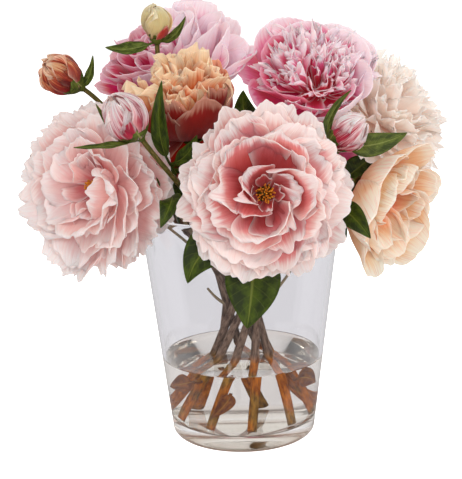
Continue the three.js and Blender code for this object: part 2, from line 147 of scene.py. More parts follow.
# %% Words for common nodes
class Wiring:
    """Short words for the nodes of one tree."""

    def __init__(self, tree):
        self.tree = tree

    def node(self, kind, **values):
        made = self.tree.nodes.new(kind)
        for key, value in values.items():
            setattr(made, key, value)
        return made

    def put(self, socket, value):
        if isinstance(value, bpy.types.NodeSocket):
            self.tree.links.new(value, socket)
        elif value is not None:
            socket.default_value = value

    def fill(self, made, values):
        """Puts a value in each of a node's first sockets and returns what the node puts out."""
        for socket, value in zip(made.inputs, values):
            self.put(socket, value)
        return made.outputs[0]

    def calc(self, operation, *values, clamp=False):
        """One step of arithmetic, named as the Math node names it."""
        return self.fill(self.node("ShaderNodeMath", operation=operation, use_clamp=clamp), values)

    def times(self, *values):
        """The product of two or more numbers."""
        product = values[0]
        for value in values[1:]:
            product = self.calc("MULTIPLY", product, value)
        return product

    def ramp(self, value, low, high, to_low=0.0, to_high=1.0):
        """A smooth step: to_low where the value is low, to_high where it is high."""
        made = self.node("ShaderNodeMapRange", interpolation_type="SMOOTHSTEP")
        return self.fill(made, (value, low, high, to_low, to_high))

    def mix(self, share, a, b, blend="MIX"):
        made = self.node("ShaderNodeMix", data_type="RGBA", blend_type=blend)
        for index, value in ((0, share), (6, a), (7, b)):
            self.put(made.inputs[index], value)
        return made.outputs[2]

    def point(self, x, y, z=0.0):
        return self.fill(self.node("ShaderNodeCombineXYZ"), (x, y, z))

    def split(self, vector):
        """The three numbers of a vector."""
        made = self.node("ShaderNodeSeparateXYZ")
        self.put(made.inputs[0], vector)
        return made.outputs

    def length(self, vector):
        made = self.node("ShaderNodeVectorMath", operation="LENGTH")
        self.put(made.inputs[0], vector)
        return made.outputs["Value"]

    def place(self):
        """Where a point of the surface is, in metres, from the middle of the vase's foot."""
        return self.node("ShaderNodeTexCoord").outputs["Object"]

    def map(self):
        """The piece's own flat map: across it, and along it."""
        return self.node("ShaderNodeUVMap", uv_map="petal").outputs[0]

    def carried(self, name):
        """A number that the mesh carries at each of its points."""
        return self.node("ShaderNodeAttribute", attribute_name=name).outputs["Fac"]

    def path(self):
        """What a ray of light has been through before it came here."""
        return self.node("ShaderNodeLightPath").outputs

    def noise(self, where, scale=1.0, detail=2.0, rough=0.5):
        made = self.node("ShaderNodeTexNoise")
        for label, value in (("Vector", where), ("Scale", scale), ("Detail", detail), ("Roughness", rough)):
            self.put(made.inputs[label], value)
        return made.outputs["Fac"]

    def relief(self, shader, height, strength, depth):
        """Fine relief, depth metres deep, on a shader."""
        made = self.node("ShaderNodeBump")
        for label, value in (("Strength", strength), ("Distance", depth), ("Height", height)):
            self.put(made.inputs[label], value)
        self.put(shader.inputs["Normal"], made.outputs[0])

    def blend(self, share, first, second):
        """Ends the material with two shaders, and the share of the second."""
        made = self.node("ShaderNodeMixShader")
        both = self.fill(made, (share, first.outputs[0], second.outputs[0]))
        self.put(self.tree.nodes["Material Output"].inputs["Surface"], both)


# %% New materials and groups
def new_material(name):
    """A material, the words for its tree, and its Principled shader."""
    made = bpy.data.materials.new(name)
    made.use_nodes = True
    return made, Wiring(made.node_tree), made.node_tree.nodes["Principled BSDF"]


def set_values(shader, **values):
    """Sets a shader's plain sockets. An underscore stands for a space in a socket's name."""
    for label, value in values.items():
        shader.inputs[label.replace("_", " ")].default_value = value


def new_group(name, inputs, outputs):
    """An empty node group with named sockets: its wiring, its input node and its output node."""
    group = bpy.data.node_groups.new(name, "ShaderNodeTree")
    for label, kind, value in inputs:
        socket = group.interface.new_socket(name=label, in_out="INPUT", socket_type=f"NodeSocket{kind}")
        if value is not None:
            socket.default_value = value
    for label, kind in outputs:
        group.interface.new_socket(name=label, in_out="OUTPUT", socket_type=f"NodeSocket{kind}")
    wiring = Wiring(group)
    return wiring, wiring.node("NodeGroupInput").outputs, wiring.node("NodeGroupOutput").inputs


# %% [markdown]
# The sky and the floor are a pale studio. The eye should see them almost white, but glass and petals
# shouldn't: seen through thick glass such a room is greyer, a gloss that mirrors it all turns milky, and a
# petal lit from every side loses its folds. One white could be dimmed to suit them all, and would then look
# dull itself. Light Path tells what each ray has been through, so each kind of ray gets its own tone
# instead.

# %% What each ray sees
MANY_MIRRORINGS = 2.5


def often_mirrored(w, path):
    """One for a ray that has been mirrored three times or more, which is caught inside the glass."""
    return w.calc("GREATER_THAN", path["Glossy Depth"], MANY_MIRRORINGS)


def seen(w, straight, through, mirrored, rest):
    """One colour where the eye meets a surface straight, one for what glass lets through, one for what a
    gloss mirrors, and one for the light that the surface sends on."""
    straight, through, mirrored, rest = ((*tone, 1) for tone in (straight, through, mirrored, rest))
    path = w.path()
    colour = w.mix(path["Is Glossy Ray"], rest, mirrored)
    colour = w.mix(path["Is Transmission Ray"], colour, through)
    colour = w.mix(often_mirrored(w, path), colour, through)
    return w.mix(path["Is Camera Ray"], colour, straight)


sky = bpy.data.worlds.new("sky")
sky.use_nodes = True
sky_wiring = Wiring(sky.node_tree)
sky_light = seen(sky_wiring, (1.1,) * 3, (0.9,) * 3, (0.2,) * 3, (0.51, 0.475, 0.47))
sky_wiring.put(sky.node_tree.nodes["Background"].inputs["Color"], sky_light)
scene.world = sky
print("sky:", len(sky.node_tree.nodes), "nodes")

# %% [markdown]
# The floor is a plain pale disk. Its own light keeps it as white as the sky. Two places of it are darker,
# and only to rays that came through the glass, so the floor itself stays plain. A real vase's stems look
# dark behind their glass, because they are mirrored against a dim room: the floor in front of the vase is
# that dim room for rays mirrored once or twice. And a thick glass foot gathers the brown of the stems into a
# dark ring at its edge, and shades the floor under it: a brown ring on the floor, right under the foot, gives
# both, a painted reflection of the stems and a painted shadow under the foot.

# %% Floor
FLOOR_RADIUS = 6
# In metres: how far in front the dim room starts and is whole, and where the brown ring's two edges fade.
ROOM_STARTS, ROOM_WHOLE = -0.062, -0.09
RING_INNER, RING_OUTER = (0.028, 0.042), (0.064, 0.058)
DIM_ROOM, SHADOW_AND_STEM_RING = (0.04, 0.04, 0.04, 1), (0.07, 0.03, 0.01, 1)


def floor_finish():
    made, w, shader = new_material("floor_paint")
    w.put(shader.inputs["Base Color"], seen(w, (1,) * 3, (0.13,) * 3, (0.15,) * 3, (0.4, 0.375, 0.38)))
    light = seen(w, (1.0,) * 3, (0.69, 0.68, 0.71), (0.2,) * 3, (0.31, 0.29, 0.29))
    place, path = w.place(), w.path()
    in_front = w.ramp(w.split(place)[1], ROOM_STARTS, ROOM_WHOLE)
    once_or_twice = w.calc("COMPARE", path["Glossy Depth"], 1.5, 1.0)
    light = w.mix(w.times(in_front, once_or_twice, path["Is Transmission Ray"]), light, DIM_ROOM)
    # The ring is painted: the stems' brown and the shadow under the foot, seen only through the glass.
    reach = w.length(place)
    ring = w.times(w.ramp(reach, *RING_INNER), w.ramp(reach, *RING_OUTER), path["Is Transmission Ray"])
    w.put(shader.inputs["Emission Color"], w.mix(ring, light, SHADOW_AND_STEM_RING))
    set_values(shader, Emission_Strength=1.0, Roughness=0.8)
    return made


floor_mesh = bpy.data.meshes.new("floor")
sheet = bmesh.new()
bmesh.ops.create_circle(sheet, cap_ends=True, segments=64, radius=FLOOR_RADIUS)
sheet.to_mesh(floor_mesh)
sheet.free()
floor_mesh.materials.append(floor_finish())
floor = bpy.data.objects.new("floor", floor_mesh)
scene.collection.objects.link(floor)
print("floor:", 2 * FLOOR_RADIUS, "m across")

# %% [markdown]
# The petal's silk. On a real peony the colour runs from the claw, deep in the heart of the bloom, to a pale
# edge, and it follows the petal's length in fine streaks and veins. It could be painted on each petal. One
# node group, petal_shade, works it out from the petal's own map instead, and each kind of bloom gives it
# three colours. Two numbers ride on the mesh: "deep", how much of the heart colour a layer keeps, and
# "chance", which is different on each petal, so that no two match. Light soaks through a petal, so its
# finish has a soft scatter, and a faint light of its own stands for the light that a whole bouquet passes
# from petal to petal.

# %% The petal's shade
def make_petal_shade():
    w, given, result = new_group(
        "petal_shade",
        [("Map", "Vector", None), ("Deep", "Float", 0.0), ("Chance", "Float", 0.0), ("Heart", "Color", None),
         ("Body", "Color", None), ("Edge", "Color", None), ("Streaks", "Float", 0.3), ("Veins", "Float", 0.2),
         ("Rim", "Float", 0.5), ("Lip", "Float", 0.45)],
        [("Color", "Color"), ("Height", "Float")],
    )
    across, along = w.split(given["Map"])[:2]
    chance_shift = w.times(given["Chance"], 37.0)

    def spread(x, times_x, times_y, detail, rough):
        """Noise that is drawn out along the petal, and is different on every petal."""
        where = w.point(w.times(x, times_x), w.times(along, times_y), chance_shift)
        return w.noise(where, 1.0, detail, rough)

    fan = w.times(w.calc("SUBTRACT", across, 0.5), w.calc("ADD", along, 0.6))
    streak = spread(fan, 15.0, 1.3, detail=3.0, rough=0.6)
    cloud = spread(across, 2.4, 2.2, detail=2.0, rough=0.5)
    vein = spread(fan, 75.0, 2.6, detail=2.0, rough=0.5)

    # How far out a point counts as being: streaks, clouds, depth and chance push the colours along the petal.
    centred = w.calc("SUBTRACT", streak, 0.5)
    reach = w.calc("MULTIPLY_ADD", centred, given["Streaks"], along)
    reach = w.calc("MULTIPLY_ADD", w.calc("SUBTRACT", cloud, 0.5), 0.4, reach)
    reach = w.calc("MULTIPLY_ADD", given["Deep"], -0.6, reach)
    reach = w.calc("MULTIPLY_ADD", w.calc("SUBTRACT", given["Chance"], 0.5), 0.26, reach)
    inner = w.mix(w.ramp(reach, 0.1, 0.62), given["Heart"], given["Body"])
    outer = w.calc("MULTIPLY_ADD", w.calc("MINIMUM", given["Deep"], 0.4), given["Lip"], reach)
    whole = w.mix(w.ramp(outer, 0.6, 1.02), inner, given["Edge"])

    # The thin rim is paler all the way round, and ragged at the tip.
    side = w.calc("POWER", w.calc("ABSOLUTE", w.calc("MULTIPLY_ADD", across, 2.0, -1.0)), 8.0)
    ragged = w.calc("MULTIPLY_ADD", centred, 0.3, along)
    rim = w.calc("MULTIPLY", w.calc("MAXIMUM", side, w.ramp(ragged, 0.8, 0.95)), given["Rim"], clamp=True)
    whole = w.mix(rim, whole, w.mix(0.35, given["Edge"], (1.0, 0.93, 0.9, 1.0)))

    lines = w.calc("MULTIPLY", w.ramp(vein, 0.52, 0.66), given["Veins"], clamp=True)
    whole = w.mix(lines, whole, w.mix(0.6, whole, given["Heart"], "MULTIPLY"))
    tone = w.ramp(given["Chance"], 0.0, 1.0, 0.9, 1.04)
    w.put(result["Color"], w.mix(1.0, whole, w.point(tone, tone, tone), "MULTIPLY"))
    w.put(result["Height"], w.calc("MULTIPLY_ADD", vein, 0.35, w.times(streak, 0.65)))
    return w.tree


PETAL_SHADE = make_petal_shade()
print("petal shade:", len(PETAL_SHADE.nodes), "nodes")


# %% The petals' finishes
def petal_finish(name, heart, body, edge, streaks=0.35, veins=0.25, rim=0.7, lip=0.45, glow=0.06):
    """Petal silk in three colours, from claw to edge. The other numbers say how strong each marking is, but
    glow says how bright its own painted glow is, which lifts its shade.
    """
    made, w, shader = new_material(name)
    shade = w.node("ShaderNodeGroup", node_tree=PETAL_SHADE)
    given = {"Map": w.map(), "Deep": w.carried("deep"), "Chance": w.carried("chance"),
             "Heart": paint(heart), "Body": paint(body), "Edge": paint(edge),
             "Streaks": streaks, "Veins": veins, "Rim": rim, "Lip": lip}
    for label, value in given.items():
        w.put(shade.inputs[label], value)
    w.relief(shader, shade.outputs["Height"], strength=0.5, depth=0.0008)
    for label in ("Base Color", "Emission Color"):
        w.put(shader.inputs[label], shade.outputs["Color"])
    set_values(shader, Roughness=0.6, Specular_IOR_Level=0.25, Sheen_Weight=0.1, Emission_Strength=glow,
               Subsurface_Weight=0.7, Subsurface_Radius=(1.0, 0.6, 0.5), Subsurface_Scale=0.005)
    return made


PETALS = {
    "blush": petal_finish("blush_petal_silk", "C24648", "E27C80", "F5D8D0", rim=0.9),
    "shell": petal_finish("shell_petal_silk", "D4686A", "EFB4B0", "F6E0DA", rim=0.75),
    "rose": petal_finish("rose_petal_silk", "C40444", "E05A90", "FADCE6", rim=0.5, lip=0.1),
    "fringe": petal_finish("fringed_petal_silk", "CC0034", "F04E86", "FFE4EC", veins=0.15, rim=0.9),
    "guard": petal_finish("guard_petal_silk", "CC1854", "E85E92", "F4D8E2", veins=0.15, rim=0.3, lip=0.0),
    "coral": petal_finish("coral_petal_silk", "780800", "E4622A", "FBCB9A", veins=0.35, rim=0.25, lip=0.3),
    # The cream silk has a little more painted glow, which lifts it where it stands in shade.
    "cream": petal_finish("cream_petal_silk", "F2C8B6", "F8E0D2", "FDF4E8", rim=0.5, glow=0.07),
    "peach": petal_finish("peach_petal_silk", "E65A28", "F1B486", "FBEACC", veins=0.6, rim=0.5),
}
print("petal finishes:", ", ".join(PETALS))

# %% [markdown]
# The petal maker. A real petal is one thin sheet: narrow at its claw, broad above it, rounded and often
# notched at its tip. It could be sculpted, or cut from cloth and simulated, but a bouquet has hundreds, so
# each starts as a bmesh grid and its points are moved onto a bent sheet. The length follows a line that
# leans out from the bloom's axis, the width hugs that axis as its neighbours do, and waves and pleats crease
# it, most of all at the edge.

# %% The numbers of a petal
PLAIN_PETAL = {
    # Its length and width, and where its claw is: how far from the bloom's axis, and how high.
    "length": 50, "width": 40, "ring": 6, "rise": 1,
    # Its slant from the axis at claw and tip, in degrees, and how late it bends from the one to the other.
    "lean": (80, 60), "bend": 1.0,
    # How far its lip rolls over, in degrees, what share of the length rolls, and how often along the edge.
    "roll": 0, "lip": 0.3, "lips": 0.0,
    # The outline: the claw's width, where the belly lies, the tip's width, and how round and lopsided it is.
    "claw": 0.3, "belly": 0.76, "tip": 0.84, "round": 0.26, "skew": 0.12,
    # How closely it hugs the axis, a curl of its own, its turn, its twist, and how far it sways to one side.
    "hug": 1.0, "own": 0.0, "tilt": 8, "twist": 0, "sway": 0.0,
    # The creases: ruffles and crimps at the rim, a broad swell, folds, fine pleats and a buckled length.
    "ruffle": 2.4, "waves": 1.5, "crimp": 0.25, "swell": 1.2, "fold": 1.2, "folds": 3,
    "pleat": 0.2, "pleats": 6, "buckle": 0.9,
    # The edge: scallops, notches and fine teeth, as shares of the length.
    "scallop": 0.035, "notches": 1, "notch": 0.06, "fray": 0.008,
    # The size of a face of its grid, and how much of the heart's colour it keeps.
    "cell": 2.0, "deep": 0.0,
}
MIDLINE = np.linspace(0, 1, 41)
HALF_TURN = 3.14
TEETH = 64

# %% The petal's outline
def smooth(x, low, high):
    t = np.clip((x - low) / (high - low), 0, 1)
    return t * t * (3 - 2 * t)


def hump(x, centre, wide):
    return np.exp(-(((x - centre) / wide) ** 2))


def travelled(slopes):
    """How far a line has gone at each of its points, from its slope there."""
    return np.concatenate([[0], np.cumsum((slopes[1:] + slopes[:-1]) / 2)]) / (len(slopes) - 1)


def midline(petal, roll):
    """Out, up and slant along the middle of a petal whose lip rolls over by so many degrees."""
    first, last = petal["lean"]
    rolled = roll * smooth(MIDLINE, 1 - petal["lip"], 1 - 0.4 * petal["lip"])
    lean = np.radians(first + (last - first) * MIDLINE ** petal["bend"] + rolled)
    out = petal["ring"] + petal["length"] * travelled(np.sin(lean))
    up = petal["rise"] + petal["length"] * travelled(np.cos(lean))
    return out, up, lean


def petal_outline(u, v, petal, rng):
    """Where each point stands across the petal, in millimetres, and how far along it is, as a share."""
    widen = petal["claw"] + (1 - petal["claw"]) * np.sin(np.clip(v / petal["belly"], 0, 1) * math.pi / 2)
    narrow = 1 - (1 - petal["tip"]) * np.clip((v - petal["belly"]) / (1 - petal["belly"]), 0, 1) ** 2
    across = u * petal["width"] / 2 * widen * narrow
    share = v * (1 - petal["round"] * np.abs(u - rng.uniform(-1, 1) * petal["skew"]) ** 2.4 * v)
    for waves, part in ((4.5, 0.5), (9.5, 0.32), (17, 0.2)):
        share -= petal["scallop"] * part * (1 + np.sin(waves * u + rng.uniform(0, 2 * HALF_TURN))) * v ** 4
    for _ in range(petal["notches"]):
        cut, wide = rng.uniform(-0.7, 0.7), rng.uniform(0.05, 0.13)
        share -= petal["notch"] * rng.uniform(0.4, 1.4) * hump(u, cut, wide) * v ** 5
    teeth = np.array([rng.uniform(-1, 1) for _ in range(TEETH)])
    tooth = np.rint((u + 1) * (TEETH - 2) / 2).astype(int)
    return across, share - petal["fray"] * teeth[tooth] * v ** 8


# %% The petal's creases and surface
def creased(lift, rim, u, v, petal, phase, rng):
    """Adds to a sheet's lift the ruffles and crimps of its rim, a swell, folds, fine pleats and a buckle."""
    lift = lift + petal["ruffle"] * rim * np.sin(petal["waves"] * HALF_TURN * u + phase[0] + 1.6 * v)
    lift = lift + petal["crimp"] * smooth(v, 0.75, 1) * np.sin(petal["waves"] * 9.7 * u + phase[1])
    lift = lift + petal["swell"] * smooth(v, 0.2, 1) * np.sin(2.4 * u + phase[6])
    for _ in range(petal["folds"]):
        ridge, wide = rng.uniform(-0.8, 0.8), rng.uniform(0.1, 0.22)
        lift = lift + petal["fold"] * rng.uniform(-1, 1) * hump(u, ridge, wide) * smooth(v, 0.1, 0.7)
    pleats = np.sin(petal["pleats"] * HALF_TURN * u + phase[2] + np.sin(5 * v + phase[3]))
    lift = lift + petal["pleat"] * smooth(v, 0.05, 0.4) * pleats
    return lift + petal["buckle"] * v * np.sin(5 * v + phase[4] + u)


def petal_surface(u, v, petal, azimuth, rng):
    """Where the points of one petal lie about its bloom's axis. u runs across it from -1 to 1, and v from 0
    at the claw to 1 at the tip."""
    across, share = petal_outline(u, v, petal, rng)
    phase = [rng.uniform(0, 2 * math.pi) for _ in range(8)]
    turned = np.clip(0.5 + 0.9 * np.sin(petal["lips"] * u + phase[7]), 0, 1) if petal["lips"] else 1.0
    out, high, slant = (
        np.interp(share, MIDLINE, flat) * (1 - turned) + np.interp(share, MIDLINE, rolled) * turned
        for flat, rolled in zip(midline(petal, 0), midline(petal, petal["roll"])))

    # The width bends round the axis, so side and lift are those of an arc.
    curl = petal["hug"] * np.cos(slant) / np.maximum(np.abs(out), 5) + petal["own"] / petal["width"]
    curl = np.where(np.abs(curl) < 1e-4, 1e-4, curl)
    side = np.sin(across * curl) / curl
    lift = (1 - np.cos(across * curl)) / curl
    rim = smooth(v, 0.5, 1.05) + 0.6 * smooth(np.abs(u), 0.6, 1) * smooth(v, 0.2, 0.7)
    lift = creased(lift, rim, u, v, petal, phase, rng)
    side = side + petal["sway"] * petal["length"] * v ** 2
    side = side + 0.3 * petal["ruffle"] * rim * np.sin(5 * v + phase[5])
    turn = np.radians(petal["tilt"] + petal["twist"] * v)
    side, lift = side * np.cos(turn) - lift * np.sin(turn), side * np.sin(turn) + lift * np.cos(turn)

    away = np.array([math.cos(azimuth), math.sin(azimuth), 0])
    beside = np.array([-math.sin(azimuth), math.cos(azimuth), 0])
    axis = np.array([0, 0, 1])
    inward = -np.cos(slant)[:, None] * away + np.sin(slant)[:, None] * axis
    return out[:, None] * away + high[:, None] * axis + side[:, None] * beside + lift[:, None] * inward


# %% One petal
def new_shape():
    """An empty bmesh with a map and the two numbers that the finishes read."""
    shape = bmesh.new()
    shape.loops.layers.uv.new("petal")
    for name in ("deep", "chance"):
        shape.verts.layers.float.new(name)
    return shape


def grid_points(shape, columns, rows):
    """Adds a flat grid, two by two about the origin, and returns its points."""
    return bmesh.ops.create_grid(shape, x_segments=columns, y_segments=rows, size=1, calc_uvs=True)["verts"]


def add_petal(shape, petal, azimuth, rng):
    """Adds one petal to a bmesh, still about the bloom's own axis."""
    columns = max(4, min(30, round(petal["width"] / petal["cell"])))
    rows = max(6, min(32, round(petal["length"] / petal["cell"])))
    points = grid_points(shape, columns, rows)
    u = np.array([p.co.x for p in points])
    v = np.array([p.co.y for p in points]) / 2 + 0.5
    places = petal_surface(u, v, petal, azimuth, rng)
    deep, chance = (shape.verts.layers.float[name] for name in ("deep", "chance"))
    luck = rng.random()
    for point, place in zip(points, places):
        point.co = place
        point[deep] = petal["deep"]
        point[chance] = luck


trial = new_shape()
add_petal(trial, PLAIN_PETAL, 0, random.Random(1))
print("a plain petal:", len(trial.faces), "faces, to", round(max(p.co.length for p in trial.verts)), "mm")
trial.free()


# %% [markdown]
# Whorls and pieces. Petals grow in rings, and no two in a ring are alike, so a whorl gives each petal its
# own share of chance. A bloom is built about its own axis, because every ring is easy to write there, and
# then turned to face its way. Sheets get their thickness from a Solidify modifier. An extrusion of the bmesh
# would do it too, but would throw spikes from the thin tips.

# %% One whorl
SPREAD_OF_CHANCE = (("length", 0.08), ("width", 0.15), ("ruffle", 0.35), ("waves", 0.3), ("round", 0.3))
OVERLAP = 0.7


def add_whorl(shape, rng, count, start=0, spread=360, loose=1.0, reach=(0, 0), flush=(0, 0), **form):
    """A ring of petals. start and spread, in degrees, let a whorl fill only a part of the ring, and loose
    says how freely its petals differ. reach makes those towards one side longer by a share, and flush deeper
    in colour. Neighbours lie above and below each other in turn."""
    form = {**PLAIN_PETAL, **form}
    step = spread / count
    for i in range(count):
        petal = dict(form)
        azimuth = math.radians(start + step * (i + loose * rng.uniform(-0.3, 0.3)))
        for key, part in SPREAD_OF_CHANCE:
            petal[key] = form[key] * (1 + loose * rng.uniform(-part, part))
        petal["length"] *= 1 + reach[0] * math.cos(azimuth - math.radians(reach[1]))
        petal["deep"] += flush[0] * math.cos(azimuth - math.radians(flush[1]))
        shift = loose * rng.uniform(-5, 5)
        petal["lean"] = (form["lean"][0] + 0.6 * shift, form["lean"][1] + 1.8 * shift)
        petal["rise"] = form["rise"] + (OVERLAP if i % 2 else -OVERLAP)
        petal["sway"] = form["sway"] + loose * rng.uniform(-0.07, 0.07)
        petal["twist"] = form["twist"] + loose * rng.uniform(-18, 18)
        petal["own"] = form["own"] + loose * rng.uniform(-0.3, 0.3)
        petal["roll"] = form["roll"] * rng.uniform(0.5, 1.3) + loose * rng.uniform(-10, 25)
        add_petal(shape, petal, azimuth, rng)


# %% From a shape to a piece
def bloom_place(base, face):
    """Turns a bloom from its own axis to its place: X is its right and Y its top as it looks at you."""
    ahead = Vector(face).normalized()
    above = Vector((0, 0, 1)) if abs(ahead.z) < 0.99 else Vector((0, 1, 0))
    top = (above - ahead * above.dot(ahead)).normalized()
    return Matrix.Translation(Vector(base)) @ Matrix((top.cross(ahead), top, ahead)).transposed().to_4x4()


def move(shape, matrix):
    bmesh.ops.transform(shape, matrix=matrix, verts=shape.verts)


def to_mesh(name, shape):
    mesh = bpy.data.meshes.new(name)
    shape.to_mesh(mesh)
    shape.free()
    return mesh


def to_object(name, mesh, wall):
    """An object in the scene, whose sheets get a wall."""
    made = bpy.data.objects.new(name, mesh)
    scene.collection.objects.link(made)
    if wall:
        thick = made.modifiers.new("thickness", "SOLIDIFY")
        thick.thickness, thick.offset = wall, 0
    return made


def finish_piece(name, shape, material, node, wall=0.0):
    """Brings a shape to metres and hands it over as a piece that stands for its CAD node."""
    bmesh.ops.scale(shape, vec=(MM, MM, MM), verts=shape.verts)
    mesh = to_mesh(name, shape)
    for face in mesh.polygons:
        face.use_smooth = True
    mesh.materials.append(material)
    piece = to_object(name, mesh, wall * MM)
    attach(piece, "root")
    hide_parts(node)
    print(f"{name}: {len(mesh.polygons)} faces")


def thickened(shape, wall):
    """The same sheets as a new shape with walls, to which solid parts can be added."""
    mesh = to_mesh("sheets", shape)
    holder = to_object("sheets", mesh, wall)
    solid = bmesh.new()
    solid.from_mesh(holder.evaluated_get(bpy.context.evaluated_depsgraph_get()).to_mesh())
    bpy.data.objects.remove(holder)
    bpy.data.meshes.remove(mesh)
    return solid


# %% [markdown]
# A bloom is a skirt and a heart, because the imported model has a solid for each: the skirt is its outer
# whorls, and the heart its inner ones. Both are written from the outside in: how many petals, how long and
# wide, and how far they lean from the bloom's axis at claw and tip. form holds for every whorl of a bloom,
# and heart_form for its heart. Besides its petals, a bloom has a base, a way to face, the angle where its
# stem stands round the vase's neck and how stiffly that stem bends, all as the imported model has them. Every
# kind of piece has its own run of seeds, so that a change to one leaves the chances of the others as they
# were.

# %% One bloom
SEEDS = {"skirt": 100, "heart": 200, "tuft": 300, "stem": 400, "leaf": 500, "calyx": 600, "bud": 700}
PETAL_WALL = 0.35
BLOOMS = {}


def chances(kind, number):
    return random.Random(SEEDS[kind] + number)


def make_bloom(name, base, face, neck, stiff, silk, radius, skirt, heart, skirt_silk=None, tuft=None,
               form=None, heart_form=None):
    """Makes a bloom's skirt and heart, and keeps what its stem, its sepals and its stamens will need."""
    number = len(BLOOMS)
    BLOOMS[name] = dict(base=base, face=face, neck=neck, stiff=stiff, radius=radius, tuft=tuft, number=number)
    form = form or {}
    inner_form = {**form, **(heart_form or {})}
    for part, node, whorls, shared, kind in (
            ("skirt", "outer", skirt, form, skirt_silk or silk), ("heart", "inner", heart, inner_form, silk)):
        rng = chances(part, number)
        shape = new_shape()
        for whorl in whorls:
            add_whorl(shape, rng, **{**shared, **whorl})
        move(shape, bloom_place(base, face))
        finish_piece(f"{name}_{part}", shape, PETALS[kind], f"{name}_{node}_petals", PETAL_WALL)


# %% [markdown]
# The front peony is a full double bloom that looks straight out. Its skirt lies almost flat, layer on layer,
# and each layer inside stands up more. The heart is a bowl of deeper pink: its petals close in, and their
# lips roll outward in part, which the numbers roll, lip and lips give. The short last whorl leaves the
# stamens open.

# %% The front peony
make_bloom(
    "front_peony", base=(16, -86, 205), face=(0, -0.98, 0.16), neck=-90, stiff=(50, 34), silk="blush",
    radius=61, tuft=dict(height=24, radius=6.5, count=46),
    skirt=[
        dict(count=11, length=58, width=48, lean=(88, 72), rise=0, start=3, deep=-0.35),
        dict(count=10, length=57, width=46, lean=(84, 67), rise=1.6, start=17, deep=-0.3),
        dict(count=10, length=53, width=44, lean=(80, 62), rise=2.8, start=5, deep=-0.2),
        dict(count=9, length=49, width=42, lean=(75, 56), rise=4, start=30, roll=20, deep=-0.1),
    ],
    heart=[
        dict(count=8, length=46, width=44, lean=(64, 36), rise=5, start=24, cell=1.7, deep=0.1,
             roll=45, lip=0.25, lips=2.5),
        dict(count=6, length=50, width=46, lean=(54, 12), rise=6, start=10, cell=1.5, deep=0.35, ruffle=1.8,
             roll=115, lip=0.24, lips=2.2, fold=0.8, loose=1.4),
        dict(count=5, length=36, width=31, lean=(38, 0), rise=7, start=30, cell=1.4, deep=0.4, ruffle=1.0,
             roll=110, lip=0.26, lips=1.8, fold=0.6, loose=1.3),
        dict(count=4, length=18, width=13, lean=(34, 6), ring=5, rise=7, start=12, cell=1.3, deep=0.8,
             ruffle=1.0),
    ],
    form=dict(notches=2, cell=1.8, scallop=0.035, ruffle=2.3, round=0.21),
)

# %% [markdown]
# The left peony is the same kind, some days older and seen from one side. It has opened flat and hangs a
# little, so reach lengthens the petals on its lower left. Its edges are notched and frayed. On one side a
# few petals stand up round the stamens, and one broad petal curls over them.

# %% The left peony
make_bloom(
    "left_peony", base=(-100, -22, 203), face=(-0.56, -0.82, 0.1), neck=-168, stiff=(50, 30), silk="shell",
    radius=66, tuft=dict(height=20, radius=5, count=30),
    skirt=[
        dict(count=1, length=68, width=56, lean=(92, 90), rise=-2, start=-16, ruffle=1.4, notches=0,
             deep=-0.3),
        dict(count=10, length=65, width=52, lean=(88, 74), rise=0, notches=3, fray=0.02),
        dict(count=10, length=63, width=50, lean=(84, 68), rise=2, notches=3, start=13, fray=0.02),
        dict(count=9, length=59, width=46, lean=(79, 60), rise=3, notches=2, start=5, fray=0.02),
    ],
    heart=[
        dict(count=9, length=55, width=44, lean=(73, 52), rise=4, start=9),
        dict(count=5, length=48, width=42, lean=(68, 42), rise=5, start=110, spread=210, fold=2.4),
        dict(count=4, length=50, width=40, lean=(62, 18), rise=5, start=-75, spread=150, ruffle=2.8,
             crimp=0.6, roll=60, lip=0.16),
        dict(count=5, length=40, width=34, lean=(62, 32), rise=6, start=100, spread=220, deep=0.05, fold=2.0),
        dict(count=1, length=44, width=46, lean=(58, -62), ring=15, rise=6, cell=1.5, ruffle=1.2, hug=0.5,
             own=0.7, deep=-0.2),
        dict(count=5, length=27, width=20, lean=(54, 24), rise=6, start=90, spread=240, cell=1.6, deep=0.25,
             ruffle=1.4),
    ],
    form=dict(reach=(0.09, -145), scallop=0.05, folds=4, fold=1.6, pleat=0.3, ruffle=2.0, deep=-0.12,
              round=0.18),
)

# %% [markdown]
# The peony at the back on the left is a rose-coloured bowl of broad, smooth petals, cupped round one
# another. It is deep pink on its lower left and pale on the other side, which flush gives.

# %% The back left peony
make_bloom(
    "back_left_peony", base=(-47, 70, 266), face=(-0.16, -0.52, 0.84), neck=152, stiff=(75, 50), silk="rose",
    radius=58,
    skirt=[
        dict(count=7, length=70, width=62, lean=(88, 28), rise=1, bend=0.9),
        dict(count=7, length=66, width=56, lean=(80, 18), rise=3, start=25, bend=0.9),
        dict(count=3, length=68, width=50, lean=(84, 40), rise=0, start=-50, spread=90, deep=0.1),
        dict(count=3, length=69, width=54, lean=(88, 46), rise=-1, start=140, spread=100, deep=0.05),
    ],
    heart=[
        dict(count=6, length=61, width=56, lean=(66, 6), rise=4, start=10, deep=0.1),
        dict(count=5, length=56, width=50, lean=(50, -4), rise=5, deep=0.1),
        dict(count=5, length=51, width=42, lean=(34, -12), rise=6, start=20, deep=0.05),
        dict(count=4, length=47, width=34, lean=(20, -12), rise=6),
    ],
    form=dict(scallop=0.012, notch=0.04, ruffle=1.5, waves=1.0, own=1.2, fold=1.0, pleat=0.1, deep=0.32,
              belly=0.86, tip=0.94, round=0.2, tilt=4, reach=(0.12, -15), flush=(0.75, 195)),
    heart_form=dict(loose=1.3, own=1.6),
)

# %% [markdown]
# The peony at the back on the right is of the kind whose stamens have turned into petals. Two whorls of
# broad guard petals hold a dome of about a hundred narrow ones, deeply cut and crumpled, deep pink with pale
# tips.

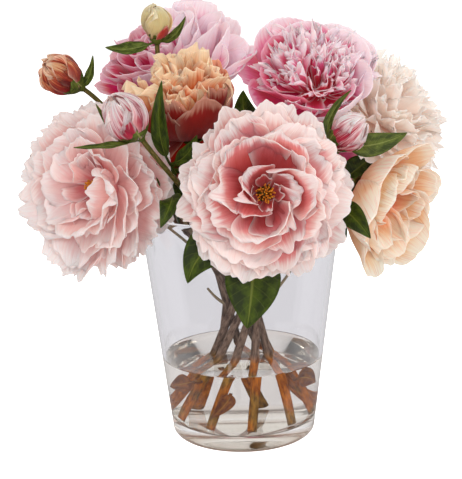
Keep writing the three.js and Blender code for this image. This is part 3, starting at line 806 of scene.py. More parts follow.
# %% The back right peony
make_bloom(
    "back_right_peony", base=(63, 34, 265), face=(-0.05, -0.72, 0.7), neck=-10, stiff=(60, 50), silk="fringe",
    skirt_silk="guard", radius=52,
    skirt=[
        dict(count=6, length=62, width=64, lean=(88, 20), rise=1, start=10, reach=(0.14, -120)),
        dict(count=6, length=56, width=56, lean=(83, 10), rise=3, start=38, reach=(0.14, -120)),
    ],
    heart=[
        dict(count=26, length=49, width=15, lean=(70, 24), ring=7, rise=4, start=-60, spread=330),
        dict(count=26, length=47, width=14, lean=(57, 13), ring=6, rise=5, start=-55, spread=300),
        dict(count=22, length=45, width=12, lean=(43, 5), ring=5, rise=6, start=-50, spread=290),
        dict(count=16, length=43, width=11, lean=(29, -2), ring=4, rise=6, start=-40, spread=270),
        dict(count=9, length=42, width=9, lean=(14, -4), ring=2, rise=6),
        dict(count=5, length=34, width=20, lean=(52, 20), ring=5, rise=5, start=-115, spread=60, deep=0.7,
             own=1, tip=0.7, claw=0.4, notch=0.05),
    ],
    form=dict(scallop=0.01, notches=0, ruffle=1.0, waves=1.0, own=0.8, fold=0.7, pleat=0.12, belly=0.84,
              tip=0.92, round=0.2, flush=(0.85, -165)),
    heart_form=dict(flush=(0.35, -125), reach=(0.07, 190), claw=0.4, belly=0.75, tip=0.5, round=0.12, own=1.4,
                    ruffle=1.8, waves=1.3, pleat=0.1, folds=1, notches=3, notch=0.16, fray=0.05, cell=1.7,
                    buckle=2.2, deep=0.1, loose=1.8, scallop=0.03, crimp=0.1),
)

# %% [markdown]
# The coral peony is half open. Dark red outer petals cup it from below, and a few hang down. That red is
# partly their own colour and partly painted shade: flush deepens the colour of the petals that face down,
# and the hanging ones are the darkest. Its heart is a tall sheaf of narrow apricot petals, strongly
# crinkled, whose tips lean in over the middle: a lean below zero.

# %% The coral peony
make_bloom(
    "coral_peony", base=(-36, -22, 242), face=(-0.04, -0.45, 0.9), neck=-130, stiff=(50, 45), silk="coral",
    radius=32,
    skirt=[
        # These hang down, and their deep red is partly painted shade.
        dict(count=4, length=40, width=36, lean=(104, 118), rise=-2, start=-172, spread=150, deep=1.3),
        dict(count=6, length=58, width=42, lean=(86, -26), rise=0, deep=1.4, ruffle=1.5),
        dict(count=6, length=57, width=38, lean=(76, -26), rise=3, start=28, deep=0.95, ruffle=2.0),
    ],
    heart=[
        dict(count=9, length=56, width=30, lean=(60, -24), rise=4, start=12),
        dict(count=9, length=55, width=27, lean=(44, -18), rise=5),
        dict(count=8, length=53, width=24, lean=(28, -10), rise=6, start=20),
        dict(count=6, length=51, width=18, lean=(12, -2), rise=6),
        dict(count=5, length=42, width=17, lean=(4, -22), rise=7, start=30),
    ],
    # In form and heart_form alike, flush deepens the red of the petals that face down: painted shade on their
    # own colour.
    form=dict(flush=(0.5, -75)),
    heart_form=dict(ruffle=2.6, waves=1.8, crimp=0.4, pleat=0.9, pleats=4, fold=2.4, deep=-0.1, roll=30,
                    loose=1.5, flush=(0.3, -70), round=0.12, notches=2, notch=0.04),
)

# %% [markdown]
# The cream peony looks like a big carnation: many narrow petals in a full dome, each notched and frayed at
# its tip.

# %% The cream peony
make_bloom(
    "cream_peony", base=(115, 60, 236), face=(0.62, -0.5, 0.6), neck=32, stiff=(75, 30), silk="cream",
    radius=43,
    skirt=[
        dict(count=8, length=66, width=42, lean=(90, 74), rise=-1, start=110, spread=200),
        dict(count=10, length=58, width=36, lean=(88, 60), rise=1),
        dict(count=10, length=56, width=34, lean=(80, 50), rise=3, start=14),
    ],
    heart=[
        dict(count=12, length=53, width=31, lean=(68, 40), rise=4, start=6),
        dict(count=11, length=50, width=28, lean=(57, 27), rise=5),
        dict(count=10, length=47, width=25, lean=(43, 15), rise=6, start=17),
        dict(count=7, length=44, width=20, lean=(26, 4), rise=6),
    ],
    form=dict(notches=4, notch=0.1, fray=0.03, scallop=0.05, pleat=0.4, crimp=0.4, ruffle=2.6, cell=1.7,
              round=0.18, reach=(0.1, 165), deep=-0.1),
)

# %% [markdown]
# The peach peony hangs over the vase's rim on the right. It has few petals, broad and satin-smooth, which
# cup a small tuft of stamens, and its lower ones hang down.

# %% The peach peony
make_bloom(
    "peach_peony", base=(92, -14, 192), face=(0.74, -0.6, -0.28), neck=-50, stiff=(55, 30), silk="peach",
    radius=42, tuft=dict(height=20, radius=4.5, count=16),
    skirt=[
        dict(count=6, length=64, width=60, lean=(88, 6), rise=1, bend=0.9, deep=-0.06),
        dict(count=5, length=58, width=54, lean=(80, -2), rise=3, start=36, bend=0.9, deep=-0.06),
    ],
    heart=[
        dict(count=7, length=50, width=38, lean=(68, 4), rise=4, start=12),
        dict(count=6, length=40, width=30, lean=(54, 6), rise=5, deep=0.35),
    ],
    form=dict(scallop=0.012, notch=0.03, ruffle=2.0, waves=1.3, own=1.2, fray=0.004, reach=(0.08, -120)),
    heart_form=dict(ruffle=2.2, waves=1.8, pleat=0.5),
)

# %% [markdown]
# Two plainer blooms fill the back of the bouquet, which a guest sees from the other side of the table. Both
# are full and round, one pale pink and one rose.

# %% The two rear peonies
make_bloom(
    "rear_left_peony", base=(-56, 84, 202), face=(-0.5, 0.84, 0.12), neck=110, stiff=(42, 34), silk="shell",
    radius=50,
    skirt=[
        dict(count=11, length=47, width=36, lean=(86, 60), rise=1, ruffle=2.0, notches=2),
        dict(count=11, length=45, width=34, lean=(80, 50), rise=3, ruffle=2.0, start=16),
    ],
    heart=[
        dict(count=10, length=42, width=30, lean=(68, 38), rise=4, ruffle=2.0, start=5),
        dict(count=9, length=38, width=26, lean=(54, 24), rise=5, ruffle=1.8, deep=0.1),
        dict(count=7, length=34, width=22, lean=(38, 10), rise=6, ruffle=1.6, start=20, deep=0.2),
        dict(count=6, length=30, width=16, lean=(22, 0), rise=6, ruffle=1.4, deep=0.3),
    ],
)
make_bloom(
    "rear_right_peony", base=(62, 84, 202), face=(0.52, 0.82, 0.2), neck=70, stiff=(50, 34), silk="rose",
    radius=48,
    skirt=[
        dict(count=9, length=47, width=40, lean=(86, 50), rise=1, ruffle=1.6),
        dict(count=9, length=45, width=36, lean=(80, 40), rise=3, ruffle=1.6, start=18),
    ],
    heart=[
        dict(count=8, length=43, width=32, lean=(68, 28), rise=4, ruffle=1.8, start=5),
        dict(count=7, length=40, width=28, lean=(52, 14), rise=5, ruffle=1.6, deep=0.1),
        dict(count=6, length=37, width=22, lean=(36, 2), rise=6, ruffle=1.4, start=20, deep=0.2),
        dict(count=5, length=34, width=17, lean=(20, -4), rise=6, ruffle=1.2, deep=0.3),
    ],
)

# %% [markdown]
# Stamens. A tuft is a few dozen thin filaments, each with a sac of golden pollen on its tip. Hair could draw
# them, but hair doesn't leave Blender as a mesh, so each is a small cone and a small stretched ball. They
# stand by the golden angle, as seeds do in a sunflower, which fills a round patch evenly.

# %% Pollen
def pollen_finish():
    """Gold with a soft mottle of brown in it."""
    made, w, shader = new_material("pollen_gold")
    mottle = w.noise(w.place(), 600, 3.0, 0.6)
    w.put(shader.inputs["Base Color"], w.mix(w.ramp(mottle, 0.35, 0.65), paint("B8641A"), paint("E8A21E")))
    w.relief(shader, mottle, strength=0.3, depth=0.0004)
    set_values(shader, Roughness=0.7)
    return made


POLLEN = pollen_finish()
print("pollen:", len(POLLEN.node_tree.nodes), "nodes")

# %% Stamens
GOLDEN_ANGLE = 2.39996
TUFT_FOOT, FOOT_SHARE, DOMED = 8, 0.45, 3
FILAMENT = dict(segments=5, radius1=0.35, radius2=0.22)
SAC = (0.7, 0.7, 1.7, 1)


def make_tuft(name, place, rng, height, radius, count):
    shape = new_shape()
    for i in range(count):
        share = math.sqrt((i + 0.5) / count)
        azimuth = i * GOLDEN_ANGLE + rng.uniform(-0.3, 0.3)
        outward = Vector((math.cos(azimuth), math.sin(azimuth), 0))
        foot = outward * radius * FOOT_SHARE * share + Vector((0, 0, TUFT_FOOT))
        tip = Vector((math.cos(azimuth) * radius * share, math.sin(azimuth) * radius * share,
                      height - DOMED * share + rng.uniform(-2, 2)))
        line = tip - foot
        turn = line.to_track_quat("Z", "Y").to_matrix().to_4x4()
        middle = Matrix.Translation((foot + tip) / 2) @ turn
        bmesh.ops.create_cone(shape, cap_ends=True, depth=line.length, matrix=middle, **FILAMENT)
        sac = Matrix.Translation(tip) @ turn @ Matrix.Diagonal(SAC)
        bmesh.ops.create_icosphere(shape, subdivisions=1, radius=1, matrix=sac)
    move(shape, place)
    finish_piece(f"{name}_tuft", shape, POLLEN, f"{name}_stamens")


for name, bloom in BLOOMS.items():
    if bloom["tuft"]:
        place = bloom_place(bloom["base"], bloom["face"])
        make_tuft(name, place, chances("tuft", bloom["number"]), **bloom["tuft"])

# %% [markdown]
# The lines of stems. A stem is a rod that follows a line: straight from its cut end through the vase's neck,
# where it leans on its neighbours, then bending over to its bloom. The free part is a Bezier line with two
# handles, whose lengths say how stiffly it leaves the neck and how straight it meets the bloom.

# %% Lines
NECK_HEIGHT, NECK_RADIUS, FLOOR_TOP = 100, 12.4, 13
STEM_RADIUS, SHOOT_RADIUS, TWIG_RADIUS, STALK_RADIUS = 3.2, 1.8, 1.5, 1.3
BLOOM_FOOT, BUD_FOOT = 10.3, 5.3
CROSSING, CUT_GAP = 0.5, 0.3
STRAIGHT_STEPS, BEND_STEPS, LINE_STEPS = 30, 60, 96


def bezier(points, t):
    """The point at share t of a line with two ends and one or two handles."""
    points = [Vector(p) for p in points]
    while len(points) > 1:
        points = [a.lerp(b, t) for a, b in zip(points, points[1:])]
    return points[0]


def even_line(points, count):
    """The same line as points at even distances along it."""
    gone = [0.0]
    for a, b in zip(points, points[1:]):
        gone.append(gone[-1] + (b - a).length)
    places = np.array([tuple(p) for p in points])
    at = np.linspace(0, gone[-1], count + 1)
    return [Vector(p) for p in np.column_stack([np.interp(at, gone, places[:, k]) for k in range(3)])]


def curved_line(handles, steps, count):
    """An even line along a Bezier line."""
    return even_line([bezier(handles, i / steps) for i in range(steps + 1)], count)


def stem_line(base, face, neck, stiff):
    """The line of a stem. It crosses its neighbours at the neck, and its cut foot clears the vase's floor."""
    ahead = Vector(face).normalized()
    end = Vector(base) - ahead * BLOOM_FOOT
    angle = math.radians(neck)
    lean = Vector((-CROSSING * math.sin(angle), CROSSING * math.cos(angle), 1))
    hold = Vector((NECK_RADIUS * math.cos(angle), NECK_RADIUS * math.sin(angle), NECK_HEIGHT))
    foot = hold - lean * (NECK_HEIGHT - FLOOR_TOP - CUT_GAP - STEM_RADIUS * CROSSING)
    handles = [hold, hold + lean * stiff[0], end - ahead * stiff[1], end]
    straight = [foot.lerp(hold, i / STRAIGHT_STEPS) for i in range(STRAIGHT_STEPS)]
    bent = [bezier(handles, i / BEND_STEPS) for i in range(BEND_STEPS + 1)]
    return even_line(straight + bent, LINE_STEPS)


def line_spot(line, share):
    """A point on a line and the way the line runs there."""
    i = min(len(line) - 2, int(share * (len(line) - 1)))
    return line[i].lerp(line[i + 1], share * (len(line) - 1) - i), (line[i + 1] - line[i]).normalized()


LINES = {name: stem_line(*(bloom[key] for key in ("base", "face", "neck", "stiff")))
         for name, bloom in BLOOMS.items()}
print("stem lines:", len(LINES))

# %% [markdown]
# Tubes. A curve with a bevel could make a stem, but its thickness should swell at the joints, so a grid is
# rolled into a tube round the line, its seam merged and its ends closed. The grid keeps its map, which the
# bark's streaks follow.

# %% A tube along a line
def add_tube(shape, line, radius, around, swell=lambda t: 1.0, wobble=0.0, rng=None, young=0.0):
    """Rolls a grid into a tube along a line. swell gives its thickness along its length, wobble how uneven
    its round is, and young how much it takes of the pale tan of thin twigs."""
    steps = len(line) - 1
    ways = [(line[min(i + 1, steps)] - line[max(i - 1, 0)]).normalized() for i in range(steps + 1)]
    side = ways[0].orthogonal().normalized()
    sides = []
    for way in ways:
        side = (side - way * side.dot(way)).normalized()
        sides.append(side)
    made = grid_points(shape, around, steps)
    shift = rng.uniform(0, 6) if rng else 0
    for point in made:
        i = round((point.co.y + 1) / 2 * steps)
        angle = (point.co.x + 1) * math.pi
        thick = radius * swell(i / steps) * (1 + wobble * math.sin(3 * angle + i * 0.15 + shift))
        point.co = line[i] + (sides[i] * math.cos(angle) + ways[i].cross(sides[i]) * math.sin(angle)) * thick
        point[shape.verts.layers.float["deep"]] = young
    bmesh.ops.remove_doubles(shape, verts=made, dist=radius * 0.01)
    made = [point for point in made if point.is_valid]
    rims = [edge for edge in {edge for point in made for edge in point.link_edges} if edge.is_boundary]
    bmesh.ops.holes_fill(shape, edges=rims, sides=around)


# %% [markdown]
# Bark. A cut peony stem is grey-brown in the air, greener towards its bloom, and a wet orange-brown with
# olive patches where it has stood in the water. One finish does it by height, because each stem passes
# through all of them. Thin dry twigs are a paler tan, which rides on the mesh in "deep".

# %% Stem finish
# The heights, in metres, where wet turns to dry and dry to green. Each bark is two tones, dark and light, and
# the strengths of streak between which it goes from the one to the other.
WATER_LINE, GREEN_LINE = (0.058, 0.068), (0.16, 0.21)
BARK = {
    "dry": ("4A3830", "8A7262", 0.35, 0.65), "green": ("4A4A22", "7C6A3A", 0.4, 0.7),
    "wet": ("7A3A04", "C87418", 0.3, 0.7), "olive": ("463A10", "8C7230", 0.3, 0.7),
    "young": ("8C7A5E", "B8A888", 0.35, 0.65),
}


def stem_finish():
    made, w, shader = new_material("stem_bark")
    across, along = w.split(w.map())[:2]
    streak = w.noise(w.point(w.times(across, 9), w.times(along, 30)), 1.0, 4.0, 0.6)
    tone = {key: w.mix(w.ramp(streak, low, high), paint(dark), paint(light))
            for key, (dark, light, low, high) in BARK.items()}
    place = w.place()
    height = w.split(place)[2]
    patches = w.ramp(w.noise(place, 34.0, 1.0, 0.5), 0.46, 0.6, 0.0, 0.75)
    wet = w.mix(patches, tone["wet"], tone["olive"])
    colour = w.mix(w.ramp(height, *WATER_LINE), wet, tone["dry"])
    colour = w.mix(w.ramp(height, *GREEN_LINE), colour, tone["green"])
    w.put(shader.inputs["Base Color"], w.mix(w.carried("deep"), colour, tone["young"]))
    w.relief(shader, streak, strength=0.6, depth=0.0008)
    set_values(shader, Roughness=0.6, Specular_IOR_Level=0.06)
    return made


STEM = stem_finish()
print("bark:", len(STEM.node_tree.nodes), "nodes")

# %% [markdown]
# Buds and twigs grow from the stems, so their places come before the stems are made. A bud has a base, an
# axis, the stem that its shoot leaves, and how far up in twelfths. Its bracts are narrow leaves at its foot,
# each written as three points, a width and the way it faces. A twig leaves its stem at a share of its length
# and runs to a tip by way of a knee.

# %% Where the buds and the twigs are
BUDS = {
    "top_bud": dict(
        base=(-59, -2, 310), axis=(0, 0, 1), radius=11, length=27, parent="coral_peony", ring=8,
        stiff=(16, 60), slot="cream_bud", close=-86, deep=-0.5, plump=0.86, sepal=0.3,
        bracts=[((-60, -3, 307), (-80, -6, 299), (-97, -9, 304), 14, (0.1, -0.7, 0.7)),
                ((-58, -3, 307), (-44, -6, 307), (-37, -9, 325), 9, (-0.4, -0.8, 0.4))]),
    "left_bud": dict(
        base=(-119, -4, 276), axis=(-0.78, -0.22, 0.58), radius=14, length=29, parent="left_peony", ring=7,
        stiff=(12, 40), slot="red_bud", close=-78, deep=0.4, plump=0.98, crumple=1.8,
        bracts=[((-118, -4, 274), (-108, -4, 280), (-107, -5, 298), 9, (-0.5, -0.8, 0))]),
    "middle_bud": dict(
        base=(-70, -79, 247), axis=(-0.5, -0.3, 0.81), radius=14, length=31, parent="coral_peony", ring=7,
        stiff=(16, 26), slot="pink_bud", close=-76, deep=0.16, plump=1.02,
        bracts=[((-71, -81, 243), (-90, -94, 240), (-113, -95, 241), 9, (0, -0.4, 0.9)),
                ((-70, -74, 243), (-88, -66, 242), (-99, -72, 268), 9, (0.5, -0.8, 0.4))]),
    "right_bud": dict(
        base=(68, -62, 235), axis=(0.68, -0.38, 0.63), radius=11.5, length=27, parent="peach_peony", ring=8,
        stiff=(14, 26), slot="pink_bud", close=-78, deep=0.2, plump=1.0,
        bracts=[((71, -64, 235), (92, -75, 231), (117, -72, 243), 19, (-0.05, -1, 0.25)),
                ((64, -57, 232), (58, -48, 252), (80, -54, 272), 9, (-0.6, -0.7, 0.2))]),
}
TWIGS = {
    "left_peony": [(0.57, (-38, -30, 158), (-60, -42, 180)), (0.64, (-40, -30, 172), (-48, -34, 186)),
                   (0.42, (-18, -12, 108), (-26, -16, 120))],
    "peach_peony": [(0.44, (24, -24, 112), (38, -36, 140))],
}
RINGS = 12
print("buds:", len(BUDS), "twigs:", sum(len(twigs) for twigs in TWIGS.values()))


# %% Stems, with their twigs and shoots
def stem_swell(t):
    """A stem is thickest at its cut foot, has a joint now and then, and widens again under the bloom."""
    joints = sum(math.exp(-(((t - at) / 0.008) ** 2)) for at in (0.2, 0.47, 0.71))
    return 1.06 - 0.2 * t + 0.22 * joints + 0.45 * max(0, (t - 0.94) / 0.06) ** 2


def shoot_line(line, bud):
    """The line of a shoot, from its stem to the foot of its bud."""
    start, along = line_spot(line, bud["ring"] / RINGS)
    axis = Vector(bud["axis"]).normalized()
    end = Vector(bud["base"]) - axis * BUD_FOOT
    return curved_line([start, start + along * bud["stiff"][0], end - axis * bud["stiff"][1], end], 40, 40)


for name, line in LINES.items():
    rng = chances("stem", BLOOMS[name]["number"])
    shape = new_shape()
    add_tube(shape, line, STEM_RADIUS, 16, stem_swell, 0.018, rng)
    for share, knee, tip in TWIGS.get(name, []):
        twig = curved_line([line_spot(line, share)[0], knee, tip], 20, 20)
        add_tube(shape, twig, TWIG_RADIUS, 8, lambda t: 1 - 0.4 * t, young=0.8)
    for bud in BUDS.values():
        if bud["parent"] == name:
            add_tube(shape, shoot_line(line, bud), SHOOT_RADIUS, 10)
    finish_piece(f"{name}_stalk", shape, STEM, f"{name}_stem")

# %% [markdown]
# The green of leaves. A peony's leaf has a paler midrib and side veins, which also stand out in relief, and
# its two greens run into each other in blotches. The veins could be painted, but worked out from the leaf's
# own map they follow every bend. A leaf in front of the light glows through, so the finish mixes in a little
# Translucent. Leaves that have lain in the water are brown.

# %% Leaf shade
VEINS_PER_LEAF, VEIN_SLANT = 30.0, -0.16


def make_leaf_shade():
    w, given, result = new_group(
        "leaf_shade",
        [("Map", "Vector", None), ("Dark", "Color", None), ("Light", "Color", None), ("Vein", "Color", None)],
        [("Color", "Color"), ("Height", "Float")],
    )
    across, along = w.split(given["Map"])[:2]
    off = w.calc("ABSOLUTE", w.calc("MULTIPLY_ADD", across, 2.0, -1.0))
    blotch = w.noise(w.point(w.times(across, 3), w.times(along, 5)), 1.0, 3.0, 0.6)
    fine = w.noise(w.point(w.times(across, 30), w.times(along, 60)), 1.0, 2.0, 0.6)
    slant = w.calc("MULTIPLY_ADD", off, VEIN_SLANT, along)
    comb = w.calc("ABSOLUTE", w.calc("SINE", w.times(slant, VEINS_PER_LEAF)))
    side_veins = w.times(w.ramp(comb, 0.0, 0.22, 1.0, 0.0), 0.3)
    midrib = w.ramp(off, 0.02, 0.09, 1.0, 0.0)
    lines = w.calc("MAXIMUM", side_veins, midrib)
    colour = w.mix(w.ramp(blotch, 0.35, 0.65), given["Dark"], given["Light"])
    colour = w.mix(w.times(w.ramp(fine, 0.45, 0.7), 0.3), colour, given["Dark"])
    w.put(result["Color"], w.mix(w.times(lines, 0.75), colour, given["Vein"]))
    w.put(result["Height"], w.calc("SUBTRACT", w.times(fine, 0.25), w.times(lines, 0.7)))
    return w.tree


LEAF_SHADE = make_leaf_shade()
print("leaf shade:", len(LEAF_SHADE.nodes), "nodes")


# %% Leaf finish
def leaf_finish(name, dark, light, vein):
    made, w, shader = new_material(name)
    shade = w.node("ShaderNodeGroup", node_tree=LEAF_SHADE)
    given = {"Map": w.map(), "Dark": paint(dark), "Light": paint(light), "Vein": paint(vein)}
    for label, value in given.items():
        w.put(shade.inputs[label], value)
    w.put(shader.inputs["Base Color"], shade.outputs["Color"])
    w.relief(shader, shade.outputs["Height"], strength=0.7, depth=0.0008)
    set_values(shader, Roughness=0.42, Specular_IOR_Level=0.25)
    through = w.node("ShaderNodeBsdfTranslucent")
    w.put(through.inputs["Color"], shade.outputs["Color"])
    w.blend(0.15, shader, through)
    return made


LEAF = leaf_finish("leaf_green", "26340A", "4C6010", "768232")
OLD_LEAF = leaf_finish("leaf_old", "5E2608", "96581A", "B0843C")
SEPAL = leaf_finish("sepal_green", "364410", "68782E", "98A258")
print("leaf finishes:", LEAF.name, OLD_LEAF.name, SEPAL.name)

# %% [markdown]
# Leaves. A peony leaf is a stalk with two or three leaflets, which meet at a hub. Each stalk leaves its stem
# at one of twelve rings, outward and then in a bow. A leaflet runs from the hub by way of a knee to its tip,
# and faces the way its upper side looks.

# %% Where the leaves are
LEAVES = {
    "front_leaf": dict(
        parent="front_peony", ring=11, out=(0, -0.3, -1), bow=6, hub=(9, -82, 178),
        leaflets=[dict(knee=(8, -84, 140), tip=(2, -90, 109), width=44, facing=(0, -1, 0.1)),
                  dict(knee=(-30, -84, 177), tip=(-39, -86, 142), width=34, facing=(-0.2, -1, 0.1))]),
    "left_leaf": dict(
        parent="left_peony", ring=9, out=(0.3, -1, 0), bow=8, hub=(-50, -50, 198),
        leaflets=[dict(knee=(-46, -76, 204), tip=(-57, -80, 181), width=18, facing=(-0.2, -0.8, 0.4)),
                  dict(knee=(-54, -44, 210), tip=(-58, -50, 232), width=16, facing=(0.2, -1, 0.2))]),
    "right_leaf": dict(
        parent="peach_peony", ring=9, out=(0, -1, 0), bow=8, hub=(68, -56, 190),
        leaflets=[dict(knee=(76, -80, 191), tip=(90, -85, 171), width=20, facing=(0, -1, 0.1)),
                  dict(knee=(70, -64, 182), tip=(75, -68, 168), width=12, facing=(-0.2, -1, 0.1))]),
    "edge_leaf": dict(
        parent="left_peony", ring=11, out=(-0.3, 1, 0.3), bow=8, hub=(-104, 4, 206),
        leaflets=[dict(knee=(-130, 26, 216), tip=(-168, 14, 206), width=24, facing=(0, 0.8, 0.6))]),
    "coral_leaf": dict(
        parent="coral_peony", ring=11, out=(-0.3, -1, 0), bow=8, hub=(-50, -52, 222),
        leaflets=[dict(knee=(-60, -78, 244), tip=(-53, -72, 283), width=14, facing=(-0.2, -1, 0.1)),
                  dict(knee=(-36, -60, 226), tip=(-30, -66, 244), width=13, facing=(0, -0.9, 0.3)),
                  dict(knee=(-60, -34, 214), tip=(-66, -30, 190), width=20, facing=(-0.1, -1, 0.1)),
                  dict(knee=(-42, -38, 208), tip=(-34, -34, 184), width=20, facing=(0.1, -1, 0.1))]),
    "middle_leaf": dict(
        parent="back_right_peony", ring=10, out=(-0.6, -0.8, 0), bow=10, hub=(14, -6, 232),
        leaflets=[dict(knee=(2, -22, 250), tip=(4, -34, 272), width=22, facing=(0, -0.9, 0.4)),
                  dict(knee=(26, -28, 236), tip=(44, -44, 244), width=18, facing=(0, -0.7, 0.7))]),
    "rear_left_leaf": dict(
        parent="rear_left_peony", ring=10, out=(0.6, 0.5, -0.4), bow=8, hub=(-20, 76, 192),
        leaflets=[dict(knee=(-14, 92, 176), tip=(-14, 94, 124), width=34, facing=(0, 1, 0.2)),
                  dict(knee=(2, 84, 214), tip=(6, 94, 244), width=24, facing=(0, 1, 0.2))]),
    "rear_right_leaf": dict(
        parent="cream_peony", ring=10, out=(0.6, -0.5, -0.6), bow=8, hub=(86, 52, 190),
        leaflets=[dict(knee=(102, 52, 186), tip=(116, 56, 160), width=28, facing=(0.7, 0.3, 0.6)),
                  dict(knee=(98, 38, 204), tip=(110, 30, 214), width=26, facing=(0.3, -1, 0.2))]),
    "sunken_left_leaf": dict(
        parent="front_peony", ring=2, out=(-0.3, -1, 0.2), bow=3, hub=(-33, -22, 50),
        leaflets=[dict(knee=(-39, -34, 52), tip=(-55, -17, 42), width=17, facing=(-0.4, -1, 0.5))]),
    "sunken_middle_leaf": dict(
        parent="peach_peony", ring=1, out=(0.5, -1, 0.2), bow=3, hub=(-9, -38, 45),
        leaflets=[dict(knee=(-9, -45, 42), tip=(-24, -44, 26), width=13, facing=(0.1, -1, 0.3))]),
    "sunken_right_leaf": dict(
        parent="cream_peony", ring=2, out=(1, -0.5, 0.2), bow=3, hub=(34, -24, 50),
        leaflets=[dict(knee=(43, -27, 55), tip=(53, -20, 44), width=18, facing=(0.3, -1, 0.3))]),
}
print("leaves:", len(LEAVES))

# %% [markdown]
# A leaflet is a grid laid along a bent spine: narrow at its foot, widest below the middle, drawn out to a
# point, folded a little along its midrib and rippled at its edge. It gets a wall before its stalk joins it,
# because the stalk is solid already.

# %% Leaves
LEAF_WALL, ROOT_DEPTH = 0.5, 2.6
BARE_FOOT, RIPPLE = 0.15, 0.5
FOOT_HALF, TIP_TAPER = 0.9, 0.7


def add_blade(shape, points, width, facing, rng):
    """A leaflet along a bent spine of three points. Its upper side looks along facing."""
    face = Vector(facing).normalized()
    rows = max(12, round((Vector(points[0]) - Vector(points[2])).length / 1.6))
    made = grid_points(shape, 12, rows)
    phase = rng.uniform(0, 6)
    for point in made:
        u, t = point.co.x, (point.co.y + 1) / 2
        s = max(0.0, (t - BARE_FOOT) / (1 - BARE_FOOT))
        belly = math.sin(math.pi * s ** 0.8) ** 0.85 * (1 - 0.25 * s) if 0 < s < 1 else 0
        half = FOOT_HALF + (width / 2 - FOOT_HALF) * belly - TIP_TAPER * s
        along = (bezier(points, min(1, t + 0.01)) - bezier(points, max(0, t - 0.01))).normalized()
        side = along.cross(face).normalized()
        lift = side.cross(along)
        fold = 0.2 * half * abs(u) + RIPPLE * belly * abs(u) ** 3 * math.sin(16 * t + phase + 2 * u)
        vein = -0.35 * belly * math.exp(-((u / 0.08) ** 2))
        point.co = bezier(points, t) + side * (u * half) + lift * (fold + vein)


def make_leaf(name, rng, parent, ring, out, bow, hub, leaflets):
    sunken = name.startswith("sunken")
    centre, along = line_spot(LINES[parent], ring / RINGS)
    away = Vector(out)
    away = (away - along * away.dot(along)).normalized()
    shape = new_shape()
    for leaflet in leaflets:
        add_blade(shape, [hub, leaflet["knee"], leaflet["tip"]], leaflet["width"], leaflet["facing"], rng)
    shape = thickened(shape, LEAF_WALL)
    stalk = [centre + away * ROOT_DEPTH, centre + away * (STEM_RADIUS + bow), Vector(hub)]
    add_tube(shape, curved_line(stalk, 20, 16), STALK_RADIUS, 8)
    finish, slot = (OLD_LEAF, "old_leaf") if sunken else (LEAF, "leaf")
    finish_piece(f"{name}_blades", shape, finish, name)


for number, (name, leaf) in enumerate(LEAVES.items()):
    make_leaf(name, chances("leaf", number), **leaf)

# %% [markdown]
# Sepals and the swollen end of the stem close each bloom from below. The sepals are short petals in green.
# The swelling is a cup, spun from its profile as a turner would make it.

# %% A cup spun from a profile
def add_cup(shape, profile, around=24):
    """Spins a profile of [radius, height] pairs, which starts and ends on the axis, into a closed cup."""
    others = set(shape.verts)
    points = [shape.verts.new((r, 0, z)) for r, z in profile]
    edges = [shape.edges.new(pair) for pair in zip(points, points[1:])]
    bmesh.ops.spin(shape, geom=points + edges, cent=(0, 0, 0), axis=(0, 0, 1), dvec=(0, 0, 0),
                   angle=2 * math.pi, steps=around, use_merge=True)
    bmesh.ops.remove_doubles(shape, verts=[v for v in shape.verts if v not in others], dist=0.01)
    made = {face for v in shape.verts if v not in others for face in v.link_faces}
    bmesh.ops.recalc_face_normals(shape, faces=list(made))


# %% Sepals
SEPAL_FORM = dict(pleat=0.15, notches=0, tilt=3, round=0.3, buckle=0.3, fold=0.3, swell=0.3, scallop=0.01)
BLOOM_CUP = [(0, -10.2), (3.6, -10.2), (4.4, -8), (6.2, -4), (9.5, -1.4), (9, -0.4), (0, -0.4)]
SEPAL_WALL, SEPAL_SHARE, LONGEST_SEPAL = 0.6, 0.42, 22

for name, bloom in BLOOMS.items():
    length = min(LONGEST_SEPAL, bloom["radius"] * SEPAL_SHARE)
    shape = new_shape()
    add_whorl(shape, chances("calyx", bloom["number"]), 5, length=length, width=15, lean=(92, 70), ring=4,
              rise=-2.2, ruffle=0.4, own=0.3, tip=0.4, cell=1.8, **SEPAL_FORM)
    shape = thickened(shape, SEPAL_WALL)
    add_cup(shape, BLOOM_CUP)
    move(shape, bloom_place(bloom["base"], bloom["face"]))
    finish_piece(f"{name}_calyx", shape, SEPAL, f"{name}_sepals")

# %% [markdown]
# Buds. Three whorls of three petals wrap an egg so closely that only their edges show, and a cup of sepals
# holds the lowest part. An egg with painted edges would be simpler, but every bud here is seen close, and
# shadows between real petals are what makes it look wrapped. plump is how full the egg is, close how far the
# tips lean in, and crumple how rough the petals are.

# %% Bud petals
BUD_PETALS = {
    "cream_bud": petal_finish("cream_bud_silk", "A82C28", "DEBC82", "F2D8A8", streaks=0.2, rim=0.2),
    "red_bud": petal_finish("red_bud_silk", "80100C", "C65C36", "EAAA7C", streaks=1.8, veins=0.8, rim=0.5),
    "pink_bud": petal_finish("pink_bud_silk", "B81C3C", "F4BEC0", "FCEAE2", streaks=2.4, veins=0.9, rim=0.4),
}
EGG_FORM = dict(ring=0.5, claw=0.45, belly=0.55, tip=0.3, round=0.3, swell=0.5, pleat=0.3, pleats=4,
                buckle=0.3, tilt=5, cell=1.3, scallop=0.02, loose=0.5)
EGG_LENGTH, EGG_WIDTH = 1.42, 2.6
STRAY_PETAL = dict(lean=(84, -4), rise=-1.2, start=-62, ring=1.6, width=12, deep=2.0, tip=0.5)
STRAY_SHARE = 0.52
BUD_WALL = 0.4


